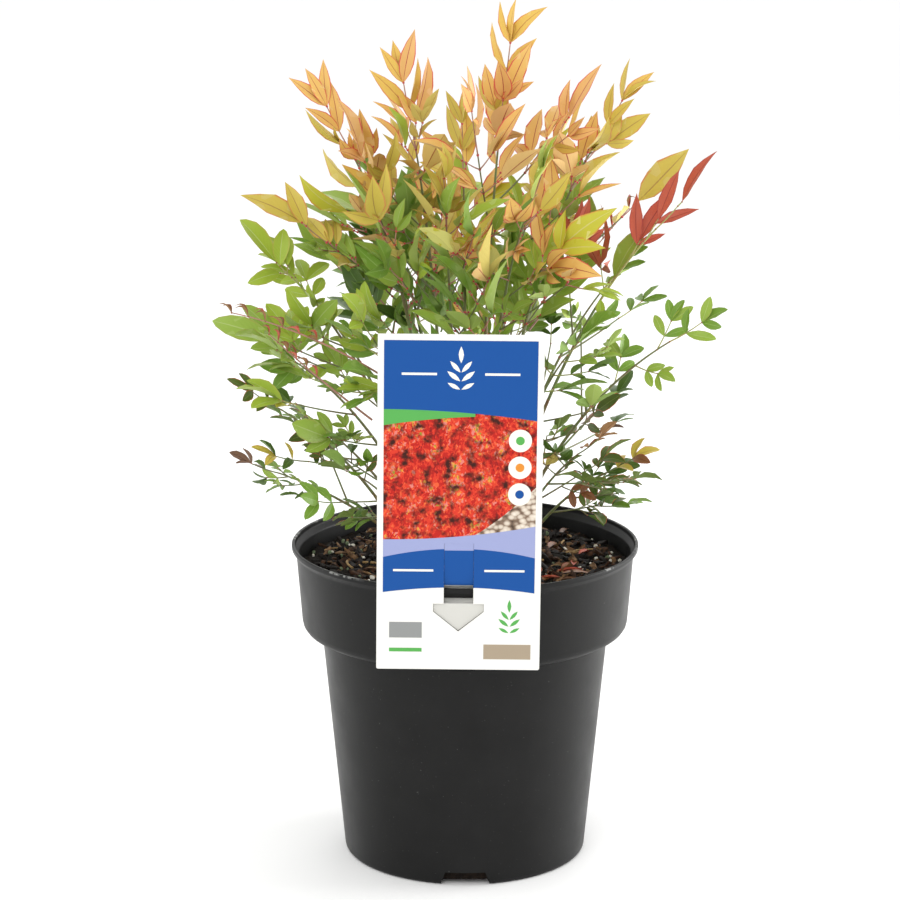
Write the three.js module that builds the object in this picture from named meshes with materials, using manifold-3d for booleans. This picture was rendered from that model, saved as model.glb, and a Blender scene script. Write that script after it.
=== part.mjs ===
// A potted heavenly bamboo: a clump of thin canes in a nursery pot, with a plant label on the rim.
// Millimetres, +Z up. The origin is the centre of the pot's flat underside and -Y is the front.

import * as THREE from 'three';
import { mergeVertices } from 'three/addons/utils/BufferGeometryUtils.js';
import Module from 'manifold-3d';

const wasm = await Module();
wasm.setup();

// ---------- driving dimensions ----------

const GAP = 0.3; // between pieces that meet
const AROUND = 36; // flat sides of the pot and of the potting mix

const POT = {
  height: 185.5,
  wall: 1.8,
  floor: 2.5,
  footRadius: 70.6,
  shoulderRadius: 83.6,
  shoulder: 135, // height of the step under the collar
  collarFootRadius: 94.4,
  collarTopRadius: 98,
  lipRadius: 100.6,
  lipHeight: 2.5, // of its upright edge
  flare: 3, // height over which the wall widens to the lip
  footRound: 3,
  collarRound: 5.5,
  lipEdge: 0.6, // bevel along the lip's edges
};

const DRAIN = { count: 3, width: 29, topWidth: 23, height: 8, inner: 60, outer: 78 };

// The mix is flat where the canes stand and lies in low waves round them.
const MIX = { top: 174, edgeTop: 172.6, flatRadius: 32, rings: [0.84, 0.6], wave: 50, heave: 1.2 };

const LABEL = {
  centre: -4,
  width: 90,
  bottom: 140,
  top: 328.5,
  corner: 1.2,
  thick: 0.7,
  face: -102.7, // front face of the card
  roll: 0.6, // degrees clockwise, as the card hangs
  strapWidth: 16,
  strapTop: 212,
  strapThick: 0.6,
  overLip: 1.1, // middle of the strap over the top of the lip
  behindCollar: 2.6, // and inwards of the collar's wall
  headFace: -101.5, // front face of the arrow-shaped head
  headWidth: 27.5,
  headTop: 177.5,
  headShoulder: 173,
  headTip: 162,
  clearance: 0.6,
};

const SLOT = { width: 18, bottom: 175.2, top: 179.6 };

// Each shoot is a bare cane that runs on as the stem of one mass of foliage.
// out and up place its bending point between foot and tip, bare is the share of it that is cane,
// and fork is a side frond's angle to the stem, low down and near the end.
const TIERS = {
  tall: {
    foot: 8, caneRadius: 2.4, tipRadius: 1.6, out: 0.25, up: 0.6, bare: 0.42,
    frond: 58, leaf: 50, breadth: 22, rise: 0.16, fork: [58, 36], colour: 0xd9a24e,
  },
  middle: {
    foot: 16, caneRadius: 2.1, tipRadius: 1.5, out: 0.28, up: 0.58, bare: 0.4,
    frond: 50, leaf: 46, breadth: 21, rise: 0.06, fork: [58, 40], colour: 0x8fae3e,
  },
  low: {
    foot: 23, caneRadius: 1.8, tipRadius: 1.4, out: 0.32, up: 0.54, bare: 0.38,
    frond: 40, leaf: 36, breadth: 17, rise: 0.04, fork: [52, 44], colour: 0x4f7d35,
  },
};

// Tier, azimuth in degrees from +X towards +Y, the furthest leaf tip's reach from the pot's axis and
// its height, and how many side fronds stand below the end frond.
const SHOOTS = [
  ['tall', 335, 30, 495, 4],
  ['tall', 205, 42, 473, 4],
  ['tall', 8, 100, 457, 3],
  ['tall', 174, 88, 455, 3],
  ['tall', 92, 62, 440, 4],
  ['tall', 258, 62, 424, 4],
  ['tall', 50, 96, 424, 3],
  ['tall', 132, 96, 408, 4],
  ['tall', 305, 82, 426, 3],
  ['middle', 182, 131, 374, 3],
  ['middle', 352, 139, 405, 1],
  ['middle', 341, 159, 337, 1],
  ['middle', 206, 143, 328, 2],
  ['middle', 232, 112, 352, 3],
  ['middle', 314, 112, 340, 3],
  ['middle', 154, 134, 352, 3],
  ['middle', 112, 134, 362, 3],
  ['middle', 70, 134, 354, 3],
  ['middle', 27, 128, 362, 2],
  ['low', 188, 141, 243, 1],
  ['low', 197, 138, 291, 1],
  ['low', 347, 112, 248, 2],
  ['low', 318, 112, 272, 2],
  ['low', 226, 116, 258, 2],
  ['low', 150, 134, 262, 2],
  ['low', 92, 134, 252, 2],
  ['low', 38, 134, 266, 2],
];

const FOOT_SPACING = 6.2;
const WANDER = 5; // sideways play of a shoot's bending point
const GOLDEN_ANGLE = 137.5;
const OUTWARD = 0.4; // how strongly a frond turns away from the pot's axis
const UPWARD = 0.2;
const END_FROND = 0.62; // the end frond starts at this share of the shoot
const LAST_FROND = 0.72; // and side fronds stand no further along it than this
const SHORTEST = 0.8; // the highest side frond's length as a share of the lowest one's
const SEED = { shoot: 7919, frond: 104729 };
// Play of the random draws: a share of a frond's length, and angles in degrees.
const PLAY = { length: 0.12, turn: 30, fork: 6, roll: 50, twist: 28 };
const TURN_STEP = 47; // a frond that meets something is turned round its stem by this
const CANE = { sides: 5, steps: 3, bars: 6 };
const STEM = { sides: 3, steps: 4, tip: 1.15 };
const RACHIS = { root: 1, tip: 0.9, sides: 3, steps: 2 };
const LEAF = { thick: 1.3, fold: 1, widest: 0.42, ridge: 0.16, sunk: 0.4, endSunk: 1.6 };
// Leaves stand in pairs behind the end leaf, each pair wider apart, larger and lower than the last.
const PAIR = { first: 0.85, spacing: 0.27, angle: 44, opening: 9, size: 0.84, growth: 0.08 };
const PAIRS = { end: 3, side: 2 };
const TRIES = 6; // places tried for a frond before it is skipped
const LEAF_TRIES = 5;
const SHRINK = 0.1; // shorter by this share at each try
const LIFT = 9; // and a leaf is turned further out of its frond's face, to one side and the other
const CLEAR = 0.4; // between a leaf or twig and anything it isn't fused to
const ROOM = 20; // how far a mass may pass the middle between its own stem and another's
const STAND_OFF = 5; // the first stretch of a leaf or twig, which may touch what it grows from
const FLOOR = { rim: 200, mix: 178, radius: 70 }; // lowest place of a leaf, over the rim and inside it

// ---------- solids ----------

const rad = THREE.MathUtils.degToRad;
const lerp = THREE.MathUtils.lerp;
const UP = new THREE.Vector3(0, 0, 1);
const SIDEWAYS = new THREE.Vector3(1, 0, 0);

function toSolid(geometry) {
  geometry.deleteAttribute('normal');
  geometry.deleteAttribute('uv');
  const merged = mergeVertices(geometry, 1e-4);
  const source = merged.index.array;
  const kept = [];
  for (let i = 0; i < source.length; i += 3) {
    const [a, b, c] = [source[i], source[i + 1], source[i + 2]];
    if (a !== b && b !== c && c !== a) {
      kept.push(a, b, c);
    }
  }
  return new wasm.Manifold(new wasm.Mesh({
    numProp: 3,
    vertProperties: merged.attributes.position.array,
    triVerts: new Uint32Array(kept),
  }));
}

function toGeometry(solid) {
  const mesh = solid.getMesh();
  const geometry = new THREE.BufferGeometry();
  geometry.setAttribute('position', new THREE.BufferAttribute(mesh.vertProperties, 3));
  geometry.setIndex(new THREE.BufferAttribute(mesh.triVerts, 1));
  return geometry;
}

function piece(name, solid, colour, roughness) {
  const material = new THREE.MeshStandardMaterial({ color: colour, roughness, metalness: 0 });
  const mesh = new THREE.Mesh(toGeometry(solid), material);
  mesh.name = name;
  return mesh;
}

// Turns a lathe shape's axis from +Y to +Z.
function turned(profile) {
  return new THREE.LatheGeometry(profile, AROUND).rotateX(Math.PI / 2);
}

// A box from its lowest to its highest corner.
function box(low, high) {
  const size = high.map((value, i) => value - low[i]);
  const middle = high.map((value, i) => (value + low[i]) / 2);
  return new THREE.BoxGeometry(...size).translate(...middle);
}

// An outline in X and Z, extruded from the face at y backwards by depth.
function plate(shape, y, depth) {
  const options = { depth, bevelEnabled: false, curveSegments: 2 };
  return new THREE.ExtrudeGeometry(shape, options).rotateX(Math.PI / 2).translate(0, y + depth, 0);
}

// ---------- pot and potting mix ----------

const innerFoot = POT.footRadius - POT.wall;
const innerShoulder = POT.shoulderRadius - POT.wall;
const innerCollarFoot = POT.collarFootRadius - POT.wall;
const innerCollarTop = POT.collarTopRadius - POT.wall;
const innerLip = POT.lipRadius - POT.wall;
const shelf = POT.shoulder + POT.wall;
const underLip = POT.height - POT.lipHeight;
const collarTop = underLip - POT.flare;

function potSolid() {
  const outline = new THREE.Path();
  outline.moveTo(0, 0);
  outline.lineTo(POT.footRadius - POT.footRound, 0);
  outline.quadraticCurveTo(POT.footRadius, 0, POT.footRadius, POT.footRound);
  outline.lineTo(POT.shoulderRadius, POT.shoulder);
  outline.lineTo(POT.collarFootRadius - POT.collarRound, POT.shoulder);
  outline.quadraticCurveTo(
    POT.collarFootRadius, POT.shoulder,
    POT.collarFootRadius, POT.shoulder + POT.collarRound,
  );
  outline.lineTo(POT.collarTopRadius, collarTop);
  outline.lineTo(POT.lipRadius, underLip);
  outline.lineTo(POT.lipRadius, POT.height - POT.lipEdge);
  outline.lineTo(POT.lipRadius - POT.lipEdge, POT.height);
  outline.lineTo(innerLip + POT.lipEdge, POT.height);
  outline.lineTo(innerLip, POT.height - POT.lipEdge);
  outline.lineTo(innerLip, underLip);
  outline.lineTo(innerCollarTop, collarTop);
  outline.lineTo(innerCollarFoot, shelf + POT.wall);
  outline.lineTo(innerCollarFoot - POT.wall, shelf);
  outline.lineTo(innerShoulder, shelf);
  outline.lineTo(innerFoot, POT.floor);
  outline.lineTo(0, POT.floor);
  let pot = toSolid(turned(outline.getPoints(3)));
  for (let i = 0; i < DRAIN.count; i += 1) {
    pot = pot.subtract(toSolid(drainHole(-90 + (360 * i) / DRAIN.count)));
  }
  const reach = POT.collarTopRadius + 1;
  const inside = innerCollarFoot - 2;
  const [left, right] = [LABEL.centre - SLOT.width / 2, LABEL.centre + SLOT.width / 2];
  const slot = box([left, -reach, SLOT.bottom], [right, -inside, SLOT.top]);
  return pot.subtract(toSolid(slot));
}

// A low opening through the foot of the wall and the rim of the floor.
function drainHole(azimuth) {
  const shape = new THREE.Shape();
  shape.moveTo(-DRAIN.width / 2, -1);
  shape.lineTo(DRAIN.width / 2, -1);
  shape.lineTo(DRAIN.topWidth / 2, DRAIN.height);
  shape.lineTo(-DRAIN.topWidth / 2, DRAIN.height);
  const hole = plate(shape, DRAIN.inner, DRAIN.outer - DRAIN.inner);
  return hole.rotateZ(rad(azimuth - 90));
}

function mixSolid() {
  const outline = new THREE.Path();
  const slope = (innerShoulder - innerFoot) / (shelf - POT.floor);
  const side = 1.5 * GAP; // flat sides and sloping walls take up the other half
  outline.moveTo(0, POT.floor + GAP);
  outline.lineTo(innerFoot + slope * GAP - side, POT.floor + GAP);
  outline.lineTo(innerShoulder - side, shelf + GAP);
  outline.lineTo(innerCollarFoot - POT.wall - side, shelf + GAP);
  outline.lineTo(innerCollarFoot - side, shelf + POT.wall + GAP);
  const rise = (MIX.edgeTop - shelf - POT.wall) / (collarTop - shelf - POT.wall);
  const edge = lerp(innerCollarFoot, innerCollarTop, rise) - side;
  outline.lineTo(edge, MIX.edgeTop);
  MIX.rings.forEach((share) => outline.lineTo(edge * share, MIX.top));
  outline.lineTo(MIX.flatRadius, MIX.top);
  outline.lineTo(0, MIX.top);
  const geometry = turned(outline.getPoints());
  const spots = geometry.attributes.position;
  for (let i = 0; i < spots.count; i += 1) {
    const spot = new THREE.Vector3().fromBufferAttribute(spots, i);
    const isTop = spot.z >= MIX.edgeTop;
    if (isTop && Math.hypot(spot.x, spot.y) > MIX.flatRadius + 1) {
      const [along, back] = [(2 * Math.PI * spot.x) / MIX.wave, (2 * Math.PI * spot.y) / MIX.wave];
      spots.setZ(i, spot.z + MIX.heave * (Math.sin(along + 1) * Math.cos(back) - 0.4));
    }
  }
  return toSolid(geometry);
}

// ---------- plant label ----------

function roundedCard(width, bottom, top, corner) {
  const [left, right] = [LABEL.centre - width / 2, LABEL.centre + width / 2];
  const shape = new THREE.Shape();
  shape.moveTo(left + corner, bottom);
  shape.lineTo(right - corner, bottom);
  shape.absarc(right - corner, bottom + corner, corner, -Math.PI / 2, 0);
  shape.lineTo(right, top - corner);
  shape.absarc(right - corner, top - corner, corner, 0, Math.PI / 2);
  shape.lineTo(left + corner, top);
  shape.absarc(left + corner, top - corner, corner, Math.PI / 2, Math.PI);
  shape.lineTo(left, bottom + corner);
  shape.absarc(left + corner, bottom + corner, corner, Math.PI, 1.5 * Math.PI);
  return shape;
}

// The arrow-shaped end of the strap, or with spare width the window it leaves in the card.
function arrow(spare, neckTop) {
  const neck = LABEL.strapWidth / 2 + spare;
  const head = LABEL.headWidth / 2 + spare;
  const shape = new THREE.Shape();
  shape.moveTo(LABEL.centre - neck, neckTop);
  shape.lineTo(LABEL.centre - neck, LABEL.headTop + spare);
  shape.lineTo(LABEL.centre - head, LABEL.headTop + spare);
  shape.lineTo(LABEL.centre - head, LABEL.headShoulder);
  shape.lineTo(LABEL.centre, LABEL.headTip - spare);
  shape.lineTo(LABEL.centre + head, LABEL.headShoulder);
  shape.lineTo(LABEL.centre + head, LABEL.headTop + spare);
  shape.lineTo(LABEL.centre + neck, LABEL.headTop + spare);
  shape.lineTo(LABEL.centre + neck, neckTop);
  return shape;
}

// The strap leaves the card, goes over the lip and comes out again through the slot in the collar.
function strapSolid() {
  const cardMiddle = LABEL.face + LABEL.thick / 2;
  const lipTop = POT.height + LABEL.overLip;
  const inside = -innerCollarTop + LABEL.behindCollar;
  const slotMiddle = lerp(SLOT.bottom, SLOT.top, 0.4);
  const headMiddle = LABEL.headFace + LABEL.strapThick / 2;
  const route = new THREE.CatmullRomCurve3([
    [cardMiddle, LABEL.strapTop + 1],
    [cardMiddle + 0.2, LABEL.strapTop - 12],
    [cardMiddle + 1.6, lipTop + 3.6],
    [-POT.lipRadius + 2.6, lipTop + 0.3],
    [inside - 2, lipTop - 0.6],
    [inside, POT.height - 3.5],
    [inside + 0.1, SLOT.top + 0.4],
    [inside - 1.2, slotMiddle + 0.2],
    [-POT.collarTopRadius, slotMiddle - 0.3],
    [headMiddle + 1.6, slotMiddle - 0.4],
    [headMiddle, slotMiddle - 2.2],
    [headMiddle, LABEL.headShoulder],
  ].map(([y, z]) => new THREE.Vector3(LABEL.centre, y, z)), false, 'catmullrom', 0.3);
  const [halfWidth, halfThick] = [LABEL.strapWidth / 2, LABEL.strapThick / 2];
  const section = new THREE.BoxGeometry(2 * halfWidth, 1, 2 * halfThick, 1, 18, 1);
  const across = new THREE.Vector3(1, 0, 0);
  return toSolid(alongCurve(section, route, 0, 1, () => across));
}

function labelSolid() {
  const card = roundedCard(LABEL.width, LABEL.bottom, LABEL.top, LABEL.corner);
  card.holes.push(arrow(LABEL.clearance, LABEL.strapTop));
  const head = plate(arrow(0, LABEL.headTop), LABEL.headFace, LABEL.strapThick);
  const body = plate(card, LABEL.face, LABEL.thick);
  const whole = toSolid(body).add(strapSolid()).add(toSolid(head));
  const middle = [LABEL.centre, 0, POT.height];
  const geometry = toGeometry(whole).translate(-middle[0], 0, -middle[2]);
  return toSolid(geometry.rotateY(rad(LABEL.roll)).translate(...middle));
}

// ---------- limbs and leaves ----------

// Bends a shape that stands along Y from -0.5 to 0.5 so that it follows a stretch of a curve.
// sideAt(t) is the direction that the shape's X takes there.
function alongCurve(geometry, curve, start, end, sideAt) {
  const spots = geometry.attributes.position;
  for (let i = 0; i < spots.count; i += 1) {
    const spot = new THREE.Vector3().fromBufferAttribute(spots, i);
    const t = lerp(start, end, spot.y + 0.5);
    const side = sideAt(t);
    const back = new THREE.Vector3().crossVectors(side, curve.getTangent(t)).normalize();
    const place = curve.getPoint(t).addScaledVector(side, spot.x).addScaledVector(back, spot.z);
    spots.setXYZ(i, place.x, place.y, place.z);
  }
  return geometry;
}

// The direction square to a curve that lies nearest to side, rolled round the curve by an angle.
function flankAt(curve, t, side, roll) {
  const tangent = curve.getTangent(t);
  const flank = side.clone().addScaledVector(tangent, -side.dot(tangent)).normalize();
  return flank.applyAxisAngle(tangent, roll);
}

// A tapering limb of the given number of sides along a stretch of a curve. A three-sided one has
// a ridge on its upper face, and its leaves leave it through the two faces beside the ridge.
function limb({ curve, side, roll }, [start, end], [rootRadius, tipRadius], { sides, steps }) {
  const tube = new THREE.CylinderGeometry(tipRadius, rootRadius, 1, sides, steps);
  return alongCurve(tube, curve, start, end, (t) => flankAt(curve, t, side, roll));
}

// Puts the end ring of a cane flat on the level of its cut, without moving its middle.
function cutLevel(geometry, level) {
  const spots = geometry.attributes.position;
  for (let i = 0; i < spots.count; i += 1) {
    if (spots.getZ(i) < level + 4) {
      spots.setZ(i, level);
    }
  }
  return geometry;
}

// A folded blade of eight faces: the octahedron's corners go to root, tip, edges and midrib.
function leafCorner(leaf, x, y, z) {
  const along = Math.max(x, 0) * leaf.length + Math.min(x, 0) * leaf.sunk
    + (Math.abs(y) * LEAF.widest + Math.abs(z) * LEAF.ridge) * leaf.length;
  return leaf.root.clone()
    .addScaledVector(leaf.direction, along)
    .addScaledVector(leaf.across, (y * leaf.breadth) / 2)
    .addScaledVector(leaf.normal, (z * LEAF.thick) / 2 + Math.abs(y) * LEAF.fold);
}

function leafGeometry(leaf) {
  const geometry = new THREE.OctahedronGeometry(1, 0);
  const spots = geometry.attributes.position;
  for (let i = 0; i < spots.count; i += 1) {
    const place = leafCorner(leaf, spots.getX(i), spots.getY(i), spots.getZ(i));
    spots.setXYZ(i, place.x, place.y, place.z);
  }
  return geometry;
}

// ---------- clearance between convex pieces ----------

function block(points, faces, edges) {
  const sphere = new THREE.Sphere().setFromPoints(points);
  return { points, faces, edges, centre: sphere.center, radius: sphere.radius };
}

function leafBlock(leaf, rootTrim) {
  const corners = [
    [1, 0, 0], [0, 1, 0], [0, -1, 0], [0, 0, 1], [0, 0, -1],
  ].map((corner) => leafCorner(leaf, ...corner));
  corners.push(leaf.root.clone().addScaledVector(leaf.direction, rootTrim));
  const faces = [leaf.normal];
  const edges = [];
  for (const side of [-1, 1]) {
    const edge = leafCorner(leaf, 0, side, 0);
    const toTip = leafCorner(leaf, 1, 0, 0).sub(edge).normalize();
    const toRoot = edge.clone().sub(leaf.root).normalize();
    edges.push(toTip, toRoot);
    faces.push(new THREE.Vector3().crossVectors(toTip, leaf.normal));
    faces.push(new THREE.Vector3().crossVectors(toRoot, leaf.normal));
  }
  return block(corners, faces, edges);
}

// A straight stretch of limb as a square bar round it.
function barBlock(from, to, radius) {
  const along = to.clone().sub(from).normalize();
  const other = Math.abs(along.z) > 0.9 ? SIDEWAYS : UP;
  const first = new THREE.Vector3().crossVectors(along, other).normalize();
  const second = new THREE.Vector3().crossVectors(along, first);
  const points = [];
  for (const end of [from, to]) {
    for (const [a, b] of [[1, 1], [1, -1], [-1, 1], [-1, -1]]) {
      points.push(end.clone().addScaledVector(first, a * radius).addScaledVector(second, b * radius));
    }
  }
  return block(points, [along, first, second], [along, first, second]);
}

function limbBlocks(curve, start, end, rootRadius, tipRadius, steps) {
  const blocks = [];
  for (let i = 0; i < steps; i += 1) {
    const [t0, t1] = [lerp(start, end, i / steps), lerp(start, end, (i + 1) / steps)];
    const radius = lerp(rootRadius, tipRadius, i / steps);
    blocks.push(barBlock(curve.getPoint(t0), curve.getPoint(t1), radius));
  }
  return blocks;
}

function boxBlock(low, high) {
  const points = [];
  for (const x of [low[0], high[0]]) {
    for (const y of [low[1], high[1]]) {
      points.push(new THREE.Vector3(x, y, low[2]), new THREE.Vector3(x, y, high[2]));
    }
  }
  const axes = [SIDEWAYS, new THREE.Vector3(0, 1, 0), UP];
  return block(points, axes, axes);
}

function gapAlong(axis, a, b) {
  const [aSpots, bSpots] = [a, b].map((one) => one.points.map((point) => point.dot(axis)));
  const [aBefore, bBefore] = [Math.max(...aSpots), Math.max(...bSpots)];
  return Math.max(Math.min(...aSpots) - bBefore, Math.min(...bSpots) - aBefore);
}

// Two convex blocks are apart if some direction shows a gap between them.
function apart(a, b) {
  if (a.centre.distanceTo(b.centre) > a.radius + b.radius + CLEAR) {
    return true;
  }
  const axes = [...a.faces, ...b.faces];
  for (const edge of a.edges) {
    for (const other of b.edges) {
      axes.push(new THREE.Vector3().crossVectors(edge, other));
    }
  }
  return axes
    .filter((axis) => axis.lengthSq() > 1e-6) // edges that run alike give none
    .some((axis) => gapAlong(axis, a, b) >= CLEAR * axis.length());
}

// ---------- growth ----------

// A seeded row of numbers from 0 to 1.
class Draw {
  constructor(seed) {
    this.state = seed >>> 0;
    for (let i = 0; i < 4; i += 1) {
      this.next();
    }
  }

  next() {
    this.state = (Math.imul(this.state, 1664525) + 1013904223) >>> 0;
    return this.state / 4294967296;
  }

  between(low, high) {
    return lerp(low, high, this.next());
  }
}

function polar(azimuth, radius, height) {
  return new THREE.Vector3(radius * Math.cos(rad(azimuth)), radius * Math.sin(rad(azimuth)), height);
}

const feet = [];

// A foot stands as near the middle as its tier lets it, clear of the feet before it.
function placeFoot(azimuth, radius) {
  const foot = polar(azimuth, radius, MIX.top + GAP);
  if (feet.some((other) => other.distanceTo(foot) < FOOT_SPACING)) {
    return placeFoot(azimuth, radius + 1);
  }
  feet.push(foot);
  return foot;
}

function makeShoot([tierName, azimuth, reach, height, sideFronds], index) {
  const tier = TIERS[tierName];
  const draw = new Draw(index * SEED.shoot);
  const foot = placeFoot(azimuth, tier.foot);
  const bend = polar(azimuth, lerp(tier.foot, reach, tier.out), lerp(foot.z, height, tier.up));
  bend.addScaledVector(polar(azimuth + 90, 1, 0), draw.between(-WANDER, WANDER));
  const tip = polar(azimuth, reach, height);
  const back = bend.clone().sub(tip).normalize();
  const end = tip.clone().addScaledVector(back, tier.leaf);
  const curve = new THREE.QuadraticBezierCurve3(foot, bend, end);
  const stemStart = tier.bare + GAP / curve.getLength();
  const samples = [];
  for (let i = 0; i <= 8; i += 1) {
    samples.push(curve.getPoint(lerp(tier.bare, 1, i / 8)));
  }
  const side = polar(azimuth + 90, 1, 0);
  return { tierName, tier, index, curve, side, stemStart, samples, sideFronds, fronds: [] };
}

const shoots = SHOOTS.map(makeShoot);

// Every leaf and twig stays nearer to its own stem than to another's, but for a little room.
function inOwnSpace(shoot, point) {
  const away = (one) => Math.min(...one.samples.map((sample) => sample.distanceTo(point)));
  const own = away(shoot) - ROOM;
  return shoots.every((other) => other === shoot || away(other) > own);
}

function aboveFloor(point) {
  const outside = Math.hypot(point.x, point.y) > FLOOR.radius;
  return point.z > (outside ? FLOOR.rim : FLOOR.mix);
}

const card = boxBlock(
  [LABEL.centre - LABEL.width / 2 - 3, LABEL.face - 80, 0],
  [LABEL.centre + LABEL.width / 2 + 3, LABEL.face + LABEL.thick + 1, LABEL.top + 3],
);
const strap = boxBlock(
  [LABEL.centre - LABEL.strapWidth / 2 - 1, LABEL.face, LABEL.bottom],
  [LABEL.centre + LABEL.strapWidth / 2 + 1, -innerCollarTop + 4, LABEL.strapTop],
);

// What a new leaf or twig must stay clear of.
// grownFrom marks the frond or shoot that a block is part of.
const taken = [{ shape: card }, { shape: strap }];

for (const shoot of shoots) {
  const { caneRadius, tipRadius, bare } = shoot.tier;
  for (const shape of limbBlocks(shoot.curve, 0, bare, caneRadius, tipRadius, CANE.bars)) {
    taken.push({ shape });
  }
  for (const shape of limbBlocks(shoot.curve, shoot.stemStart, 1, tipRadius, STEM.tip, STEM.steps)) {
    taken.push({ shape, grownFrom: shoot });
  }
}

function isFree(shapes, trimmed, grownFrom) {
  return taken.every((other) => {
    const own = other.grownFrom !== undefined && other.grownFrom === grownFrom;
    return (own ? trimmed : shapes).every((shape) => apart(shape, other.shape));
  });
}

// The stretch of a shoot from END_FROND on, as a curve of its own.
function endStretch({ v0, v1, v2 }) {
  const first = v0.clone().lerp(v1, END_FROND);
  const second = v1.clone().lerp(v2, END_FROND);
  return new THREE.QuadraticBezierCurve3(first.clone().lerp(second, END_FROND), second, v2);
}

function addFrond(shoot, curve, side, draw, pairs) {
  const roll = rad(draw.between(-PLAY.roll, PLAY.roll));
  const twists = [];
  for (let i = 0; i <= 2 * pairs; i += 1) {
    twists.push(draw.between(-PLAY.twist, PLAY.twist));
  }
  const frond = { shoot, curve, side, roll, twists, leaves: [] };
  shoot.fronds.push(frond);
  return frond;
}

// The frond that ends a shoot has the stem itself as its rachis.
function makeEndFrond(shoot) {
  const draw = new Draw(shoot.index * SEED.shoot + SEED.frond);
  const frond = addFrond(shoot, endStretch(shoot.curve), shoot.side, draw, PAIRS.end);
  shoot.roll = frond.roll;
}

function makeSideFrond(shoot, order) {
  const { tier, curve, index, sideFronds } = shoot;
  const draw = new Draw(index * SEED.shoot + (order + 2) * SEED.frond);
  const share = order / sideFronds;
  const t = lerp(shoot.stemStart, LAST_FROND, (order + 0.5) / sideFronds);
  const root = curve.getPoint(t);
  const tangent = curve.getTangent(t);
  const outward = new THREE.Vector3(root.x, root.y, 0).normalize();
  const across = new THREE.Vector3().crossVectors(tangent, outward).normalize();
  const upright = new THREE.Vector3().crossVectors(across, tangent);
  const firstTurn = draw.between(-PLAY.turn, PLAY.turn) + GOLDEN_ANGLE * order;
  const length = tier.frond * lerp(1, SHORTEST, share) * draw.between(1 - PLAY.length, 1 + PLAY.length);
  const fork = rad(lerp(tier.fork[0], tier.fork[1], share) + draw.between(-PLAY.fork, PLAY.fork));
  for (let attempt = 0; attempt < TRIES; attempt += 1) {
    const turn = rad(firstTurn + TURN_STEP * attempt);
    const direction = tangent.clone().multiplyScalar(Math.cos(fork))
      .addScaledVector(upright, -Math.cos(turn) * Math.sin(fork))
      .addScaledVector(across, Math.sin(turn) * Math.sin(fork))
      .addScaledVector(outward, OUTWARD)
      .addScaledVector(UP, UPWARD)
      .normalize();
    const reach = length * (1 - SHRINK * attempt);
    const bend = root.clone().addScaledVector(direction, reach / 2);
    const end = root.clone().addScaledVector(direction, reach).addScaledVector(UP, tier.rise * reach);
    const rachis = new THREE.QuadraticBezierCurve3(root, bend, end);
    const shapes = limbBlocks(rachis, 0, 1, RACHIS.root, RACHIS.tip, RACHIS.steps);
    const trimmed = limbBlocks(rachis, STAND_OFF / reach, 1, RACHIS.root, RACHIS.tip, RACHIS.steps);
    if (inOwnSpace(shoot, end) && aboveFloor(end) && isFree(shapes, trimmed, shoot)) {
      const side = new THREE.Vector3().crossVectors(UP, direction).normalize();
      const frond = addFrond(shoot, rachis, side, draw, PAIRS.side);
      frond.isSide = true;
      shapes.forEach((shape) => taken.push({ shape, grownFrom: frond }));
      return;
    }
  }
}

// Leaf number 0 ends the frond, and the others stand in pairs behind it.
function makeLeaf(frond, number) {
  const { shoot, curve, side: frondSide, roll } = frond;
  const rank = Math.ceil(number / 2) - 1;
  const side = number === 0 ? 0 : 2 * (number % 2) - 1;
  const at = number === 0 ? 1 : PAIR.first - PAIR.spacing * rank;
  const angle = rad(side * (PAIR.angle + PAIR.opening * rank));
  const size = number === 0 ? 1 : PAIR.size + PAIR.growth * rank;
  const tangent = curve.getTangent(at);
  const flank = flankAt(curve, at, frondSide, roll);
  const face = new THREE.Vector3().crossVectors(tangent, flank);
  const root = curve.getPoint(at);
  const sunk = number === 0 ? LEAF.endSunk : LEAF.sunk;
  const grownFrom = frond.isSide ? frond : shoot;
  for (let attempt = 0; attempt < LEAF_TRIES; attempt += 1) {
    const lift = rad(LIFT * attempt * (attempt % 2 === 0 ? 1 : -1));
    const flat = tangent.clone().multiplyScalar(Math.cos(angle)).addScaledVector(flank, Math.sin(angle));
    const direction = flat.multiplyScalar(Math.cos(lift)).addScaledVector(face, Math.sin(lift));
    const across = new THREE.Vector3().crossVectors(face, direction).normalize();
    across.applyAxisAngle(direction, rad(frond.twists[number]));
    const normal = new THREE.Vector3().crossVectors(direction, across);
    const share = size * (1 - SHRINK * attempt);
    const [length, breadth] = [shoot.tier.leaf * share, shoot.tier.breadth * share];
    const leaf = { root, direction, across, normal, length, breadth, sunk };
    const whole = leafBlock(leaf, -sunk);
    const trimmed = leafBlock(leaf, STAND_OFF);
    const fits = whole.points.every(aboveFloor)
      && inOwnSpace(shoot, leafCorner(leaf, 1, 0, 0))
      && isFree([whole], [trimmed], grownFrom);
    if (fits) {
      taken.push({ shape: whole, grownFrom });
      frond.leaves.push(leaf);
      return;
    }
  }
}

// Every shoot ends in a frond. Side fronds come in turns, one on each shoot, and then the leaves,
// the end ones first.
shoots.forEach(makeEndFrond);
const mostFronds = Math.max(...shoots.map(({ sideFronds }) => sideFronds));
for (let step = 1; step <= mostFronds; step += 1) {
  for (const shoot of shoots) {
    if (step <= shoot.sideFronds) {
      makeSideFrond(shoot, shoot.sideFronds - step);
    }
  }
}

const fronds = shoots.flatMap((shoot) => shoot.fronds);
const mostLeaves = Math.max(...fronds.map(({ twists }) => twists.length));
for (let number = 0; number < mostLeaves; number += 1) {
  fronds.filter(({ twists }) => number < twists.length).forEach((frond) => makeLeaf(frond, number));
}

// ---------- assembly ----------

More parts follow.
